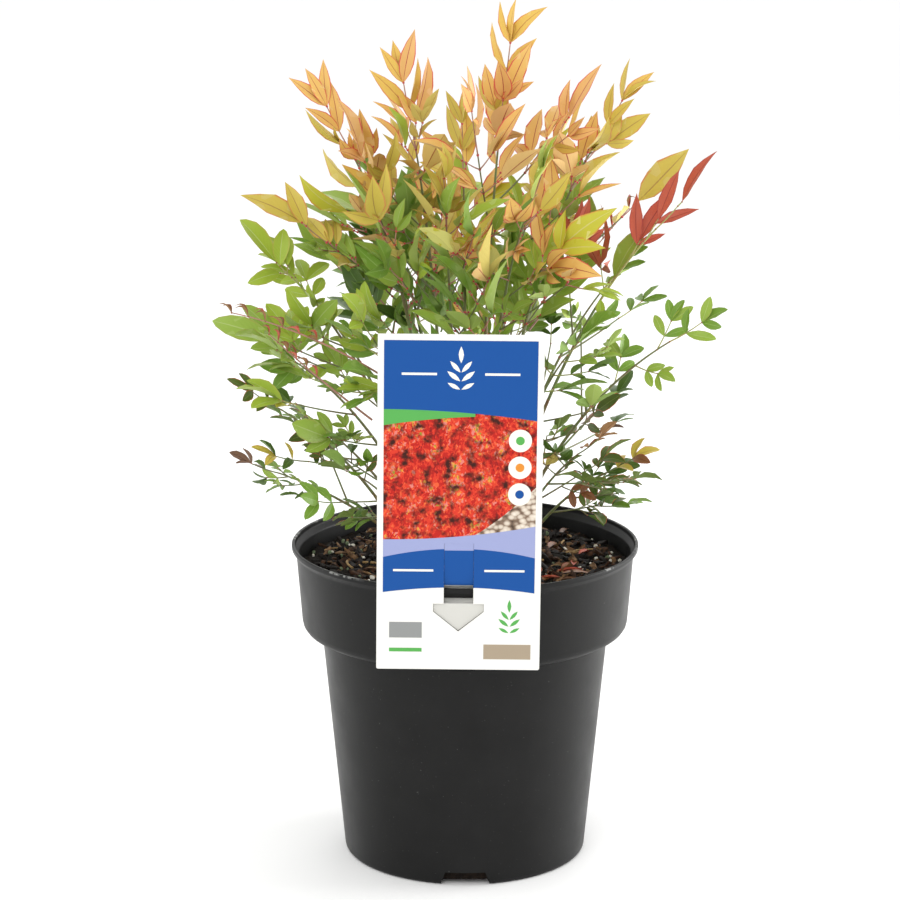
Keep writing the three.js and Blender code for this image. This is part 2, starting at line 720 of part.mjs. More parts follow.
function caneSolid(shoot) {
  const { tier } = shoot;
  const cane = limb(shoot, [0, tier.bare], [tier.caneRadius, tier.tipRadius], CANE);
  return toSolid(cutLevel(cane, MIX.top + GAP));
}

function foliageSolid(shoot) {
  let mass = toSolid(limb(shoot, [shoot.stemStart, 1], [shoot.tier.tipRadius, STEM.tip], STEM));
  for (const frond of shoot.fronds) {
    if (frond.isSide) {
      mass = mass.add(toSolid(limb(frond, [0, 1], [RACHIS.root, RACHIS.tip], RACHIS)));
    }
    for (const leaf of frond.leaves) {
      mass = mass.add(toSolid(leafGeometry(leaf)));
    }
  }
  return mass;
}

const plant = new THREE.Group();
plant.add(piece('pot', potSolid(), 0x3a3a3b, 0.45));
plant.add(piece('potting_mix', mixSolid(), 0x2f241c, 0.95));
plant.add(piece('plant_label', labelSolid(), 0xf2f2ee, 0.4));

const count = {};
for (const shoot of shoots) {
  const { tierName, tier } = shoot;
  count[tierName] = (count[tierName] ?? 0) + 1;
  plant.add(piece(`${tierName}_cane_${count[tierName]}`, caneSolid(shoot), 0x6d5a34, 0.7));
  plant.add(piece(`${tierName}_foliage_${count[tierName]}`, foliageSolid(shoot), tier.colour, 0.5));
}

export default plant;
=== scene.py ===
"""A potted heavenly bamboo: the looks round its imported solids.

Sizes are in millimetres in the solids' own frame, +Z up, -Y the front where the label hangs, and the
origin at the centre of the pot's flat underside. Meshes are made in metres.
"""

import logging
import math
from collections.abc import Sequence
from dataclasses import dataclass, field, replace
from enum import Enum
from typing import Self

import bpy
import numpy as np
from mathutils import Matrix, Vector
from mathutils.geometry import tessellate_polygon


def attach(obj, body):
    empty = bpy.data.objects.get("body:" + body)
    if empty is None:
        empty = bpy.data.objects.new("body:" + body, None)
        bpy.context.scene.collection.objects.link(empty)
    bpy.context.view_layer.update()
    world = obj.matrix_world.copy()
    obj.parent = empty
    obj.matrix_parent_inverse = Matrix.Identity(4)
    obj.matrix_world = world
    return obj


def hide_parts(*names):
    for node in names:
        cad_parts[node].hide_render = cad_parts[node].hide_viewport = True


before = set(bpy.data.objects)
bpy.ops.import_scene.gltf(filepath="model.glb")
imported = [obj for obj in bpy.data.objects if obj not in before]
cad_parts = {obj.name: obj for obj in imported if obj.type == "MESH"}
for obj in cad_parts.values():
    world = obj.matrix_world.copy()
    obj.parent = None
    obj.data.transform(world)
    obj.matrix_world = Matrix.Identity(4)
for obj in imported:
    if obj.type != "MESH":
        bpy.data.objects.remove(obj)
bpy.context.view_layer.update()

Array = np.ndarray
Socket = bpy.types.NodeSocket
MM = 0.001
UP = np.array([0.0, 0.0, 1.0])
SIDEWAYS = np.array([1.0, 0.0, 0.0])
TURN = 2.0 * math.pi
SMOOTH_BELOW = math.radians(38)

log = logging.getLogger("heavenly_bamboo")


# ---------- vectors and closed surfaces ----------


def unit(vectors: Array) -> Array:
    """Scales each vector to a length of one."""
    return vectors / np.linalg.norm(vectors, axis=-1, keepdims=True)


def turned(vectors: Array, axis: Array, angle: Array | float) -> Array:
    """Turns vectors round an axis: v cos a + (k x v) sin a + k (k . v)(1 - cos a).

    Args:
        vectors: the vectors, in rows.
        axis: one unit vector for all or one for each.
        angle: one angle in radians for all or one for each.

    Returns:
        The turned vectors.
    """
    cos, sin = np.cos(angle)[..., None], np.sin(angle)[..., None]
    along = (vectors * axis).sum(axis=-1, keepdims=True)
    return vectors * cos + np.cross(axis, vectors) * sin + axis * along * (1 - cos)


def lerp(low: Array | float, high: Array | float, share: Array | float) -> Array | float:
    """Goes from low to high by a share."""
    return (1 - share) * low + share * high


def circle(count: int, full: float = TURN) -> Array:
    """Gives even angles round a full turn."""
    return np.linspace(0, full, count, endpoint=False)


def polar(azimuth: Array | float, radius: Array | float, height: Array | float) -> Array:
    """Turns an azimuth in degrees, a radius and a height into a point."""
    angle = np.radians(azimuth)
    return np.stack(np.broadcast_arrays(radius * np.cos(angle), radius * np.sin(angle), height), axis=-1)


@dataclass
class Surface:
    """A closed mesh that isn't a Blender object yet.

    Attributes:
        points: corners in millimetres, one a row.
        faces: four corner numbers a face, anticlockwise from outside, the last -1 on a triangle.
        slots: the number of each face's finish.
        uv: a place along and across the surface for each point, where a finish needs it.
    """

    points: Array
    faces: Array
    slots: Array
    uv: Array | None = None

    @staticmethod
    def join(parts: Sequence["Surface"]) -> "Surface":
        """Puts several surfaces into one.

        Args:
            parts: the surfaces, all with uv or all without.

        Returns:
            One surface that holds them all, in their order.
        """
        starts = np.cumsum([0] + [len(part.points) for part in parts[:-1]])
        faces = [np.where(part.faces < 0, -1, part.faces + start) for part, start in zip(parts, starts)]
        uv = None if parts[0].uv is None else np.concatenate([part.uv for part in parts])
        return Surface(
            np.concatenate([part.points for part in parts]),
            np.concatenate(faces),
            np.concatenate([part.slots for part in parts]),
            uv,
        )


def skin(rings: Array, poles: Array, slots: Array | int = 0, uv: Array | None = None) -> Surface:
    """Skins closed bodies, each a row of rings that a pole closes at both ends.

    A ring runs anticlockwise as seen from the rings after it.

    Args:
        rings: places, indexed by body, ring and point of the ring.
        poles: the first and last place of each body.
        slots: finish numbers that spread over body, ring and point.
        uv: places along and across, indexed by ring and point, the same for each body.

    Returns:
        All the bodies as one surface.
    """
    count, rows, around, _ = rings.shape
    ring = np.arange(count * rows * around).reshape(count, rows, around)
    after = np.roll(ring, -1, axis=2)
    pole = np.broadcast_to(ring.size + np.arange(2 * count).reshape(count, 2, 1), (count, 2, around))
    none = np.full((count, around), -1)
    sides = np.stack([ring[:, :-1], after[:, :-1], after[:, 1:], ring[:, 1:]], axis=-1)
    first = np.stack([pole[:, 0], after[:, 0], ring[:, 0], none], axis=-1)
    last = np.stack([pole[:, 1], ring[:, -1], after[:, -1], none], axis=-1)
    dealt = np.broadcast_to(slots, (count, rows - 1, around))
    if uv is not None:
        ends = np.array([[0.0, 0.5], [1.0, 0.5]])
        spread = np.broadcast_to(uv, (count, rows, around, 2)).reshape(-1, 2)
        uv = np.concatenate([spread, np.tile(ends, (count, 1))])
    return Surface(
        np.concatenate([rings.reshape(-1, 3), poles.reshape(-1, 3)]),
        np.concatenate([sides.reshape(-1, 4), first.reshape(-1, 4), last.reshape(-1, 4)]),
        np.concatenate([dealt.ravel(), dealt[:, 0].ravel(), dealt[:, -1].ravel()]),
        uv,
    )


def tubes(path: Array, side: Array, radius: Array, slots: Array | int = 0) -> Surface:
    """Carries a round section along paths: path + radius (side cos a + back sin a).

    Args:
        path: places, indexed by tube and ring.
        side: a direction for each tube that isn't along it.
        radius: radii that spread over tube, ring and point of the ring.
        slots: finish numbers that spread over tube, ring and point.

    Returns:
        The closed tubes as one surface.
    """
    tangent = unit(np.gradient(path, axis=1))
    flank = np.broadcast_to(side[:, None], path.shape)
    flank = unit(flank - (flank * tangent).sum(axis=-1, keepdims=True) * tangent)
    back = np.cross(tangent, flank)
    angle = circle(radius.shape[-1])[:, None]
    ring = flank[:, :, None] * np.cos(angle) + back[:, :, None] * np.sin(angle)
    rings = path[:, :, None] + np.broadcast_to(radius, ring.shape[:-1])[..., None] * ring
    return skin(rings, path[:, [0, -1]], slots)


def beads(centres: Array, radius: Array, slots: Array | int = 0) -> Surface:
    """Makes small round knobs: a sphere of three rings of six points.

    Args:
        centres: the middle of each knob.
        radius: the radius of each.
        slots: finish numbers, one for each or one for all.

    Returns:
        The closed knobs as one surface.
    """
    tilt = np.radians([-45.0, 0.0, 45.0])[:, None, None]
    angle = circle(6)[:, None]
    ring = np.concatenate([
        np.cos(tilt) * np.cos(angle), np.cos(tilt) * np.sin(angle), np.sin(tilt) + 0 * angle,
    ], axis=-1)
    size = radius[:, None, None, None]
    poles = centres[:, None] + radius[:, None, None] * np.array([-UP, UP])
    return skin(centres[:, None, None] + size * ring, poles, np.reshape(slots, (-1, 1, 1)))


def prisms(outlines: Array, level: float, height: float, slots: Array | int = 0) -> Surface:
    """Raises flat outlines in X and Z from the plane y = level towards the front.

    Args:
        outlines: points indexed by outline, anticlockwise as seen from the front.
        level: y of the back face.
        height: thickness.
        slots: finish numbers, one for each outline or one for all.

    Returns:
        The closed prisms as one surface.
    """
    def lifted(flat: Array, y: float) -> Array:
        """Adds y between X and Z."""
        return np.stack([flat[..., 0], np.full(flat.shape[:-1], y), flat[..., 1]], axis=-1)

    centres = outlines.mean(axis=1)
    rings = np.stack([lifted(outlines, level), lifted(outlines, level - height)], axis=1)
    poles = np.stack([lifted(centres, level), lifted(centres, level - height)], axis=1)
    return skin(rings, poles, np.reshape(slots, (-1, 1, 1)))


@dataclass
class Relief:
    """Smooth seeded noise over a plane, from -1 to 1.

    Attributes:
        size: width of one swell in millimetres.
        seed: which of many such reliefs.
        cells: swells before the pattern repeats.
    """

    size: float
    seed: int
    cells: int = 64

    def __post_init__(self) -> None:
        """Draws the heights of the lattice."""
        self.heights = np.random.default_rng(self.seed).uniform(-1, 1, (self.cells, self.cells))

    def node(self, column: Array, row: Array) -> Array:
        """Gives heights of the lattice, which repeats."""
        return self.heights[column % self.cells, row % self.cells]

    def __call__(self, x: Array, y: Array) -> Array:
        """Blends the four nearest lattice heights by the smooth step 3t2 - 2t3.

        Args:
            x: places across.
            y: places back.

        Returns:
            The height at each place.
        """
        across, back = x / self.size, y / self.size
        column, row = np.floor(across).astype(int), np.floor(back).astype(int)
        s, t = across - column, back - row
        s, t = s * s * (3 - 2 * s), t * t * (3 - 2 * t)
        near = lerp(self.node(column, row), self.node(column + 1, row), s)
        far = lerp(self.node(column, row + 1), self.node(column + 1, row + 1), s)
        return lerp(near, far, t)


# ---------- finishes ----------


def linear(code: str) -> tuple[float, float, float, float]:
    """Turns a screen colour into the renderer's own.

    Args:
        code: six hexadecimal digits after a hash sign.

    Returns:
        Red, green, blue and alpha.
    """
    screen = [int(code[i:i + 2], 16) / 255 for i in (1, 3, 5)]
    red, green, blue = (((c + 0.055) / 1.055) ** 2.4 if c > 0.04045 else c / 12.92 for c in screen)
    return red, green, blue, 1.0


class Nodes:
    """Adds shader nodes to one material."""

    def __init__(self, material: bpy.types.Material) -> None:
        """Starts from the material's own surface shader.

        Args:
            material: what is dressed.
        """
        material.use_nodes = True
        self.tree = material.node_tree
        self.shader = self.tree.nodes["Principled BSDF"]

    def feed(self, socket: Socket, value: object) -> None:
        """Links a socket to another, or sets it to a plain value.

        Args:
            socket: what is fed.
            value: the other socket or the value.
        """
        if isinstance(value, Socket):
            self.tree.links.new(value, socket)
        else:
            socket.default_value = value

    def add(self, kind: str, inputs: dict[str | int, object], output: int = 0, **settings: object) -> Socket:
        """Adds one node.

        Args:
            kind: the node's type, without the words ShaderNode.
            inputs: a value or a socket for each named or numbered input.
            output: the number of the output that is wanted.
            settings: the node's own settings.

        Returns:
            The output.
        """
        node = self.tree.nodes.new("ShaderNode" + kind)
        for name, value in settings.items():
            setattr(node, name, value)
        for name, value in inputs.items():
            self.feed(node.inputs[name], value)
        return node.outputs[output]

    def place(self, stretch: tuple[float, float, float] = (1, 1, 1)) -> Socket:
        """Gives Object coordinates, stretched along the axes by a Mapping node."""
        spot = self.add("TexCoord", {}, 3)
        return self.add("Mapping", {"Vector": spot, "Scale": stretch})

    def noise(self, grain: float, detail: float = 3, vector: Socket | None = None) -> Socket:
        """Gives noise whose grain is that many millimetres wide."""
        spot = vector or self.place()
        return self.add("TexNoise", {"Vector": spot, "Scale": 1 / (grain * MM), "Detail": detail})

    def cells(self, width: float, vector: Socket, output: int = 0) -> Socket:
        """Gives cells that are that many millimetres wide: distances from their middles, or colours."""
        return self.add("TexVoronoi", {"Vector": vector, "Scale": 1 / (width * MM)}, output)

    def math(self, operation: str, a: object, b: object = 0.0) -> Socket:
        """Works out one step of arithmetic."""
        return self.add("Math", {0: a, 1: b}, operation=operation)

    def ramp(self, value: Socket, low: float, high: float) -> Socket:
        """Spreads the stretch from low to high over 0 to 1."""
        return self.add("MapRange", {"Value": value, "From Min": low, "From Max": high})

    def scale(self, value: Socket, stops: Sequence[tuple[float, str]], steps: bool = False) -> Socket:
        """Turns a value into colours.

        Args:
            value: the value, from 0 to 1.
            stops: a place and a screen colour for each stop.
            steps: whether each colour holds up to the next stop.

        Returns:
            The colour.
        """
        colour = self.add("ValToRGB", {0: value})
        band = colour.node.color_ramp
        band.interpolation = "CONSTANT" if steps else "LINEAR"
        for _ in stops[2:]:
            band.elements.new(0.5)
        for element, (place, code) in zip(band.elements, stops):
            element.position, element.color = place, linear(code)
        return colour

    def blend(self, share: Socket, first: object, second: object) -> Socket:
        """Goes from one colour to another by a share."""
        return self.add("Mix", {0: share, 6: first, 7: second}, 2, data_type="RGBA")

    def colour(self, value: object) -> None:
        """Sets the surface's colour."""
        self.feed(self.shader.inputs["Base Color"], value)

    def rough(self, value: Socket, swing: float, least: float) -> None:
        """Sets the roughness to least + swing x value."""
        roughness = self.add("Math", {0: value, 1: swing, 2: least}, operation="MULTIPLY_ADD")
        self.feed(self.shader.inputs["Roughness"], roughness)

    def bump(self, height: Socket, depth: float) -> None:
        """Raises the surface by up to a depth in millimetres."""
        normal = self.add("Bump", {"Height": height, "Distance": depth * MM, "Strength": 1.0})
        self.feed(self.shader.inputs["Normal"], normal)


@dataclass(frozen=True)
class Finish:
    """A plain screen colour over a fine grain, whose width and depth are in millimetres."""

    name: str
    colour: str
    roughness: float = 0.5
    grain: float = 0.8
    depth: float = 0.05
    shine: float = 0.5

    def material(self) -> bpy.types.Material:
        """Makes the material.

        Returns:
            The material.
        """
        material = bpy.data.materials.new(self.name)
        nodes = Nodes(material)
        nodes.colour(linear(self.colour))
        nodes.shader.inputs["Roughness"].default_value = self.roughness
        nodes.shader.inputs["Specular IOR Level"].default_value = self.shine
        self.dress(nodes)
        return material

    def dress(self, nodes: Nodes) -> None:
        """Adds the grain."""
        nodes.bump(nodes.noise(self.grain), self.depth)


@dataclass(frozen=True)
class MouldedPlastic(Finish):
    """Satin plastic with a cloudy tone, fine scratches, and a lip whose top is scuffed paler."""

    CLOUDS, STREAKS, SCRATCHES, SPECKS = 22, 26, 2.2, 1.1  # widths in millimetres
    WORN_FROM, WORN_TO = 1.2, 0.2  # stretch below the lip's top over which the scuffs set in
    cloud: str = "#141414"
    worn: str = "#8a8a88"
    lip: float = 185.5

    def dress(self, nodes: Nodes) -> None:
        """Mixes clouds, dust and scuffs into the colour and the roughness.

        Args:
            nodes: the material's nodes.
        """
        clouds = nodes.ramp(nodes.noise(self.CLOUDS, 4), 0.3, 0.7)
        base = nodes.blend(clouds, linear(self.colour), linear(self.cloud))
        scratches = nodes.noise(self.SCRATCHES, 6, nodes.place((1, 1, 0.15)))
        height = nodes.add("SeparateXYZ", {"Vector": nodes.place()}, 2)
        near_lip = nodes.ramp(height, (self.lip - self.WORN_FROM) * MM, (self.lip - self.WORN_TO) * MM)
        stretch = nodes.ramp(nodes.noise(self.STREAKS, 1), 0.56, 0.62)
        streaks = nodes.math("MULTIPLY", stretch, nodes.ramp(scratches, 0.46, 0.6))
        scuffed = nodes.math("MULTIPLY", near_lip, streaks)
        dust = nodes.math("MULTIPLY", nodes.ramp(nodes.noise(self.SPECKS, 2), 0.72, 0.8), 0.3)
        nodes.colour(nodes.blend(nodes.math("MAXIMUM", scuffed, dust), base, linear(self.worn)))
        nodes.rough(clouds, 0.1, self.roughness)
        nodes.bump(nodes.math("ADD", nodes.noise(self.grain, 2), scratches), self.depth)


@dataclass(frozen=True)
class Mottled(Finish):
    """A surface whose colour wanders in patches between two tones, such as bark or soil."""

    other: str = "#000000"
    patch: float = 3.0
    stretch: tuple[float, float, float] = (1.0, 1.0, 1.0)

    def dress(self, nodes: Nodes) -> None:
        """Mixes the two tones by noise and adds the grain.

        Args:
            nodes: the material's nodes.
        """
        spot = nodes.place(self.stretch)
        share = nodes.ramp(nodes.noise(self.patch, 5, spot), 0.32, 0.68)
        nodes.colour(nodes.blend(share, linear(self.colour), linear(self.other)))
        nodes.bump(nodes.noise(self.grain, 5, spot), self.depth)


@dataclass(frozen=True)
class LeafSkin(Finish):
    """A waxy leaf in one plain colour, with side veins that slant off the midrib.

    Attributes:
        veins: number of veins on each side.
        slant: how far a vein runs on towards the tip, as a share of the leaf's length.
    """

    VEIN_RISE, WAX_PATCH, WAX_SWING = 0.35, 7, 0.3
    veins: float = 9.0
    slant: float = 0.3

    def dress(self, nodes: Nodes) -> None:
        """Raises the veins by a sine over the place along the leaf, less the slant.

        Args:
            nodes: the material's nodes.
        """
        spot = nodes.add("UVMap", {}, uv_map="UVMap")
        split = nodes.add("SeparateXYZ", {"Vector": spot}).node
        off_rib = nodes.math("ABSOLUTE", nodes.math("SUBTRACT", split.outputs[1], 0.5))
        shifted = nodes.math("SUBTRACT", split.outputs[0], nodes.math("MULTIPLY", off_rib, 2 * self.slant))
        wave = nodes.math("SINE", nodes.math("MULTIPLY", shifted, TURN * self.veins))
        fine = nodes.noise(self.grain, 2)
        nodes.rough(nodes.noise(self.WAX_PATCH, 2), self.WAX_SWING, self.roughness - self.WAX_SWING / 2)
        nodes.bump(nodes.math("ADD", nodes.math("MULTIPLY", wave, self.VEIN_RISE), fine), self.depth)


@dataclass(frozen=True)
class PrintedFoliage(Finish):
    """A printed picture of foliage: warped cells in leaf colours, darker in the hollows."""

    cell: float = 1.0
    stops: tuple[tuple[float, str], ...] = (
        (0.0, "#8e1d1b"), (0.2, "#b3241d"), (0.42, "#cf3a28"), (0.6, "#dc5a35"),
        (0.7, "#d4796f"), (0.78, "#d7923c"), (0.86, "#8d8a32"), (0.94, "#5f7430"),
    )
    hollow: str = "#3c1a14"
    DRIFT, PUSH, BUSHES, HOLLOWS = 3, 4, 11, 6  # widths in millimetres
    OWN_SHARE, BUSH_SHARE = 0.45, 0.55

    def dress(self, nodes: Nodes) -> None:
        """Warps the cells by noise, and darkens them by a wider noise.

        Args:
            nodes: the material's nodes.
        """
        flat = nodes.place((1, 0, 0.7))
        drift = nodes.add("TexNoise", {"Vector": flat, "Scale": 1 / (self.DRIFT * MM), "Detail": 3}, 1)
        push = nodes.add("VectorMath", {0: drift, 3: self.PUSH * MM}, operation="SCALE")
        warped = nodes.add("VectorMath", {0: flat, 1: push}, operation="ADD")
        tones = nodes.add("SeparateColor", {"Color": nodes.cells(self.cell, warped, 1)})
        own = nodes.math("MULTIPLY", tones, self.OWN_SHARE)
        bushes = nodes.ramp(nodes.noise(self.BUSHES, 3, nodes.place((1, 0, 1))), 0.3, 0.7)
        wide = nodes.math("MULTIPLY", bushes, self.BUSH_SHARE)
        leaves = nodes.scale(nodes.math("ADD", own, wide), self.stops, steps=True)
        shade = nodes.ramp(nodes.noise(self.HOLLOWS, 5, nodes.place((1, 0, 1))), 0.36, 0.52)
        nodes.colour(nodes.blend(shade, linear(self.hollow), leaves))


@dataclass(frozen=True)
class PrintedStones(Finish):
    """A printed picture of pebbles: round cells, dark between them."""

    cell: float = 3.2
    stops: tuple[tuple[float, str], ...] = (
        (0.0, "#e6ddd0"), (0.45, "#cdbfae"), (0.7, "#85705f"), (1.0, "#4c3e35"),
    )

    def dress(self, nodes: Nodes) -> None:
        """Colours by the distance from each cell's middle."""
        nodes.colour(nodes.scale(nodes.cells(self.cell, nodes.place((1, 0, 1.3))), self.stops))


@dataclass(frozen=True)
class Shades:
    """The four colours of a leaf: its upper side, underside, midrib and margin. The underside is the leaf's
    own paler back, lightened further as a painted glow of light through the leaf.
    """

    upper: str
    under: str
    rib: str
    margin: str


class Tint(Enum):
    """Seasonal tints, from the youngest leaves to the oldest."""

    # The second colour of each tint, the underside, is its own paler back, lightened by a painted glow of
    # light shining through the leaf.
    AMBER = Shades("#dcb264", "#dfba7c", "#a85a44", "#cc5c4c")
    GOLD = Shades("#d8b458", "#dabc70", "#b07242", "#d08450")
    PEACH = Shades("#d9aa68", "#ddb27c", "#a85446", "#cc5a4e")
    CORAL = Shades("#b2543f", "#b6604e", "#88362e", "#9e3e38")
    OLIVE = Shades("#c4b04e", "#c8b664", "#a68648", "#c68c4e")
    YELLOW = Shades("#bcb83c", "#ccc874", "#c4be70", "#c89642")
    LIME = Shades("#9cb23e", "#a8ba62", "#aec070", "#a8aa48")
    FRESH = Shades("#8ca642", "#98ae58", "#a0b466", "#949e46")
    GREEN = Shades("#6c8e32", "#7e9a4a", "#88a456", "#78903c")
    DEEP = Shades("#486226", "#627c3c", "#5e7c3e", "#566c30")
    RED_EDGED = Shades("#52622a", "#66783a", "#6c7c40", "#b45a32")
    BRONZE = Shades("#805434", "#8e6a44", "#643a28", "#944434")
    WITHERED = Shades("#5e4230", "#6c503c", "#463024", "#744c34")


# The tints that stand among each main tint, with their shares.
COMPANIONS = {
    Tint.AMBER: ((Tint.AMBER, 0.5), (Tint.PEACH, 0.12), (Tint.GOLD, 0.22), (Tint.OLIVE, 0.16)),
    Tint.GOLD: ((Tint.GOLD, 0.45), (Tint.AMBER, 0.3), (Tint.YELLOW, 0.1), (Tint.OLIVE, 0.15)),
    Tint.PEACH: ((Tint.PEACH, 0.38), (Tint.AMBER, 0.52), (Tint.GOLD, 0.1)),
    Tint.OLIVE: ((Tint.LIME, 0.08), (Tint.OLIVE, 0.48), (Tint.YELLOW, 0.1), (Tint.AMBER, 0.34)),
    Tint.CORAL: ((Tint.CORAL, 0.95), (Tint.BRONZE, 0.05)),
    Tint.YELLOW: ((Tint.YELLOW, 0.4), (Tint.LIME, 0.35), (Tint.OLIVE, 0.25)),
    Tint.LIME: ((Tint.LIME, 0.6), (Tint.FRESH, 0.26), (Tint.YELLOW, 0.14)),
    Tint.FRESH: ((Tint.FRESH, 0.5), (Tint.GREEN, 0.26), (Tint.LIME, 0.24)),
    Tint.GREEN: ((Tint.GREEN, 0.5), (Tint.FRESH, 0.35), (Tint.DEEP, 0.15)),
    Tint.DEEP: ((Tint.DEEP, 0.42), (Tint.GREEN, 0.3), (Tint.RED_EDGED, 0.24), (Tint.WITHERED, 0.04)),
    Tint.RED_EDGED: ((Tint.RED_EDGED, 0.6), (Tint.DEEP, 0.2), (Tint.OLIVE, 0.06), (Tint.BRONZE, 0.14)),
}

# What a tint becomes lower down on the same shoot: the greener tint of older leaves, darkened as painted
# shade.
AGED_AND_SHADED = {
    Tint.AMBER: Tint.OLIVE, Tint.GOLD: Tint.OLIVE, Tint.PEACH: Tint.OLIVE, Tint.OLIVE: Tint.FRESH,
    Tint.CORAL: Tint.GREEN, Tint.YELLOW: Tint.LIME, Tint.LIME: Tint.FRESH, Tint.FRESH: Tint.GREEN,
    Tint.GREEN: Tint.DEEP, Tint.DEEP: Tint.DEEP, Tint.RED_EDGED: Tint.DEEP,
}

TINTS = list(Tint)
# Each tint's underside finish is its paler back, lightened by a painted glow of light through the leaf.
LEAF_FINISHES = [
    LeafSkin(f"{tint.name.lower()}_{part}", getattr(tint.value, part), roughness, 0.9, 0.04, 0.24)
    for tint in TINTS
    for part, roughness in (("upper", 0.34), ("under", 0.5), ("rib", 0.42), ("margin", 0.38))
]
PARTS = 4  # finishes a tint
UPPER, UNDERSIDE_AND_GLOW, RIB, MARGIN = range(PARTS)

TWIG_FINISHES = [
    Mottled("young_stem", "#b07868", 0.5, 0.7, 0.05, other="#8c6a5e", patch=5.0, stretch=(1, 1, 0.3)),
    Mottled("green_stem", "#8fa05a", 0.5, 0.7, 0.05, other="#a09058", patch=6.0, stretch=(1, 1, 0.3)),
    Mottled("old_stem", "#647640", 0.5, 0.7, 0.05, other="#6e6242", patch=6.0, stretch=(1, 1, 0.3)),
    Mottled("red_joint", "#c8403e", 0.45, 0.6, 0.05, other="#a83a3a", patch=2.0),
    Mottled("brown_joint", "#9a5a3e", 0.5, 0.6, 0.05, other="#7a4a34", patch=2.0),
]
YOUNG_STEM, GREEN_STEM, OLD_STEM, RED_JOINT, BROWN_JOINT = range(len(TWIG_FINISHES))


# ---------- pieces ----------


def smooth(mesh: bpy.types.Mesh) -> None:
    """Shades a mesh smooth but for its sharp edges."""
    mesh.shade_smooth()
    mesh.set_sharp_from_angle(angle=SMOOTH_BELOW)


def make_piece(
    name: str, surface: Surface, finishes: Sequence[Finish], slot: str, nodes: Sequence[str] = (),
) -> bpy.types.Object:
    """Turns a surface into a piece that rides on the part.

    Args:
        name: the piece's name.
        surface: its closed mesh.
        finishes: what the surface's finish numbers stand for; only those in use are made.
        slot: the record's material slot.
        nodes: the solids it stands for.

    Returns:
        The finished object.
    """
    used, slots = np.unique(surface.slots, return_inverse=True)
    keep = surface.faces >= 0
    corners, totals = surface.faces[keep], keep.sum(axis=1)
    mesh = bpy.data.meshes.new(name)
    mesh.vertices.add(len(surface.points))
    mesh.vertices.foreach_set("co", (surface.points * MM).astype(np.float32).ravel())
    mesh.loops.add(len(corners))
    mesh.loops.foreach_set("vertex_index", corners.astype(np.int32))
    mesh.polygons.add(len(totals))
    mesh.polygons.foreach_set("loop_start", (np.cumsum(totals) - totals).astype(np.int32))
    mesh.polygons.foreach_set("material_index", slots.ravel().astype(np.int32))
    mesh.update(calc_edges=True)
    if surface.uv is not None:
        layer = mesh.uv_layers.new(name="UVMap")
        layer.uv.foreach_set("vector", surface.uv[corners].astype(np.float32).ravel())
    for number in used:
        mesh.materials.append(finishes[number].material())
    return dress_piece(bpy.data.objects.new(name, mesh), slot, nodes)


def dress_piece(piece: bpy.types.Object, slot: str, nodes: Sequence[str] = ()) -> bpy.types.Object:
    """Smooths a piece, links it, hangs it on the root and hides the solids it stands for.

    Args:
        piece: the new object.
        slot: the record's material slot; not used.
        nodes: the solids it stands for.

    Returns:
        The same object.
    """
    smooth(piece.data)
    bpy.context.scene.collection.objects.link(piece)
    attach(piece, "root")
    if nodes:
        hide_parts(*nodes)
    log.info("%s: %d faces", piece.name, len(piece.data.polygons))
    return piece


def rounded(corners: Sequence[tuple[float, float, float]], steps: int = 5) -> Array:
    """Runs a line through corners, each rounded by a quadratic curve.

    Args:
        corners: two coordinates and the length of line that the rounding takes up on each side.
        steps: points on each rounded corner.

    Returns:
        The line's points.
    """
    spots = np.array([corner[:2] for corner in corners])
    line = [spots[0]]
    t = np.linspace(0, 1, steps)[:, None]
    for i in range(1, len(spots) - 1):
        take = corners[i][2]
        first = spots[i] + unit(spots[i - 1] - spots[i]) * take
        last = spots[i] + unit(spots[i + 1] - spots[i]) * take
        line.extend((1 - t) ** 2 * first + 2 * t * (1 - t) * spots[i] + t * t * last)
    line.append(spots[-1])
    return np.array(line)


def lathe(profile: Array, around: int) -> Surface:
    """Turns a profile of radius and height, whose ends lie on the axis, round +Z.

    Args:
        profile: radius and height of each ring, with the two ends as poles.
        around: points in a ring.

    Returns:
        The closed body.
    """
    angle = circle(around, 360)
    rings = polar(angle, profile[1:-1, :1], profile[1:-1, 1:])
    poles = np.array([[0, 0, profile[0, 1]], [0, 0, profile[-1, 1]]])
    return skin(rings[None], poles[None])


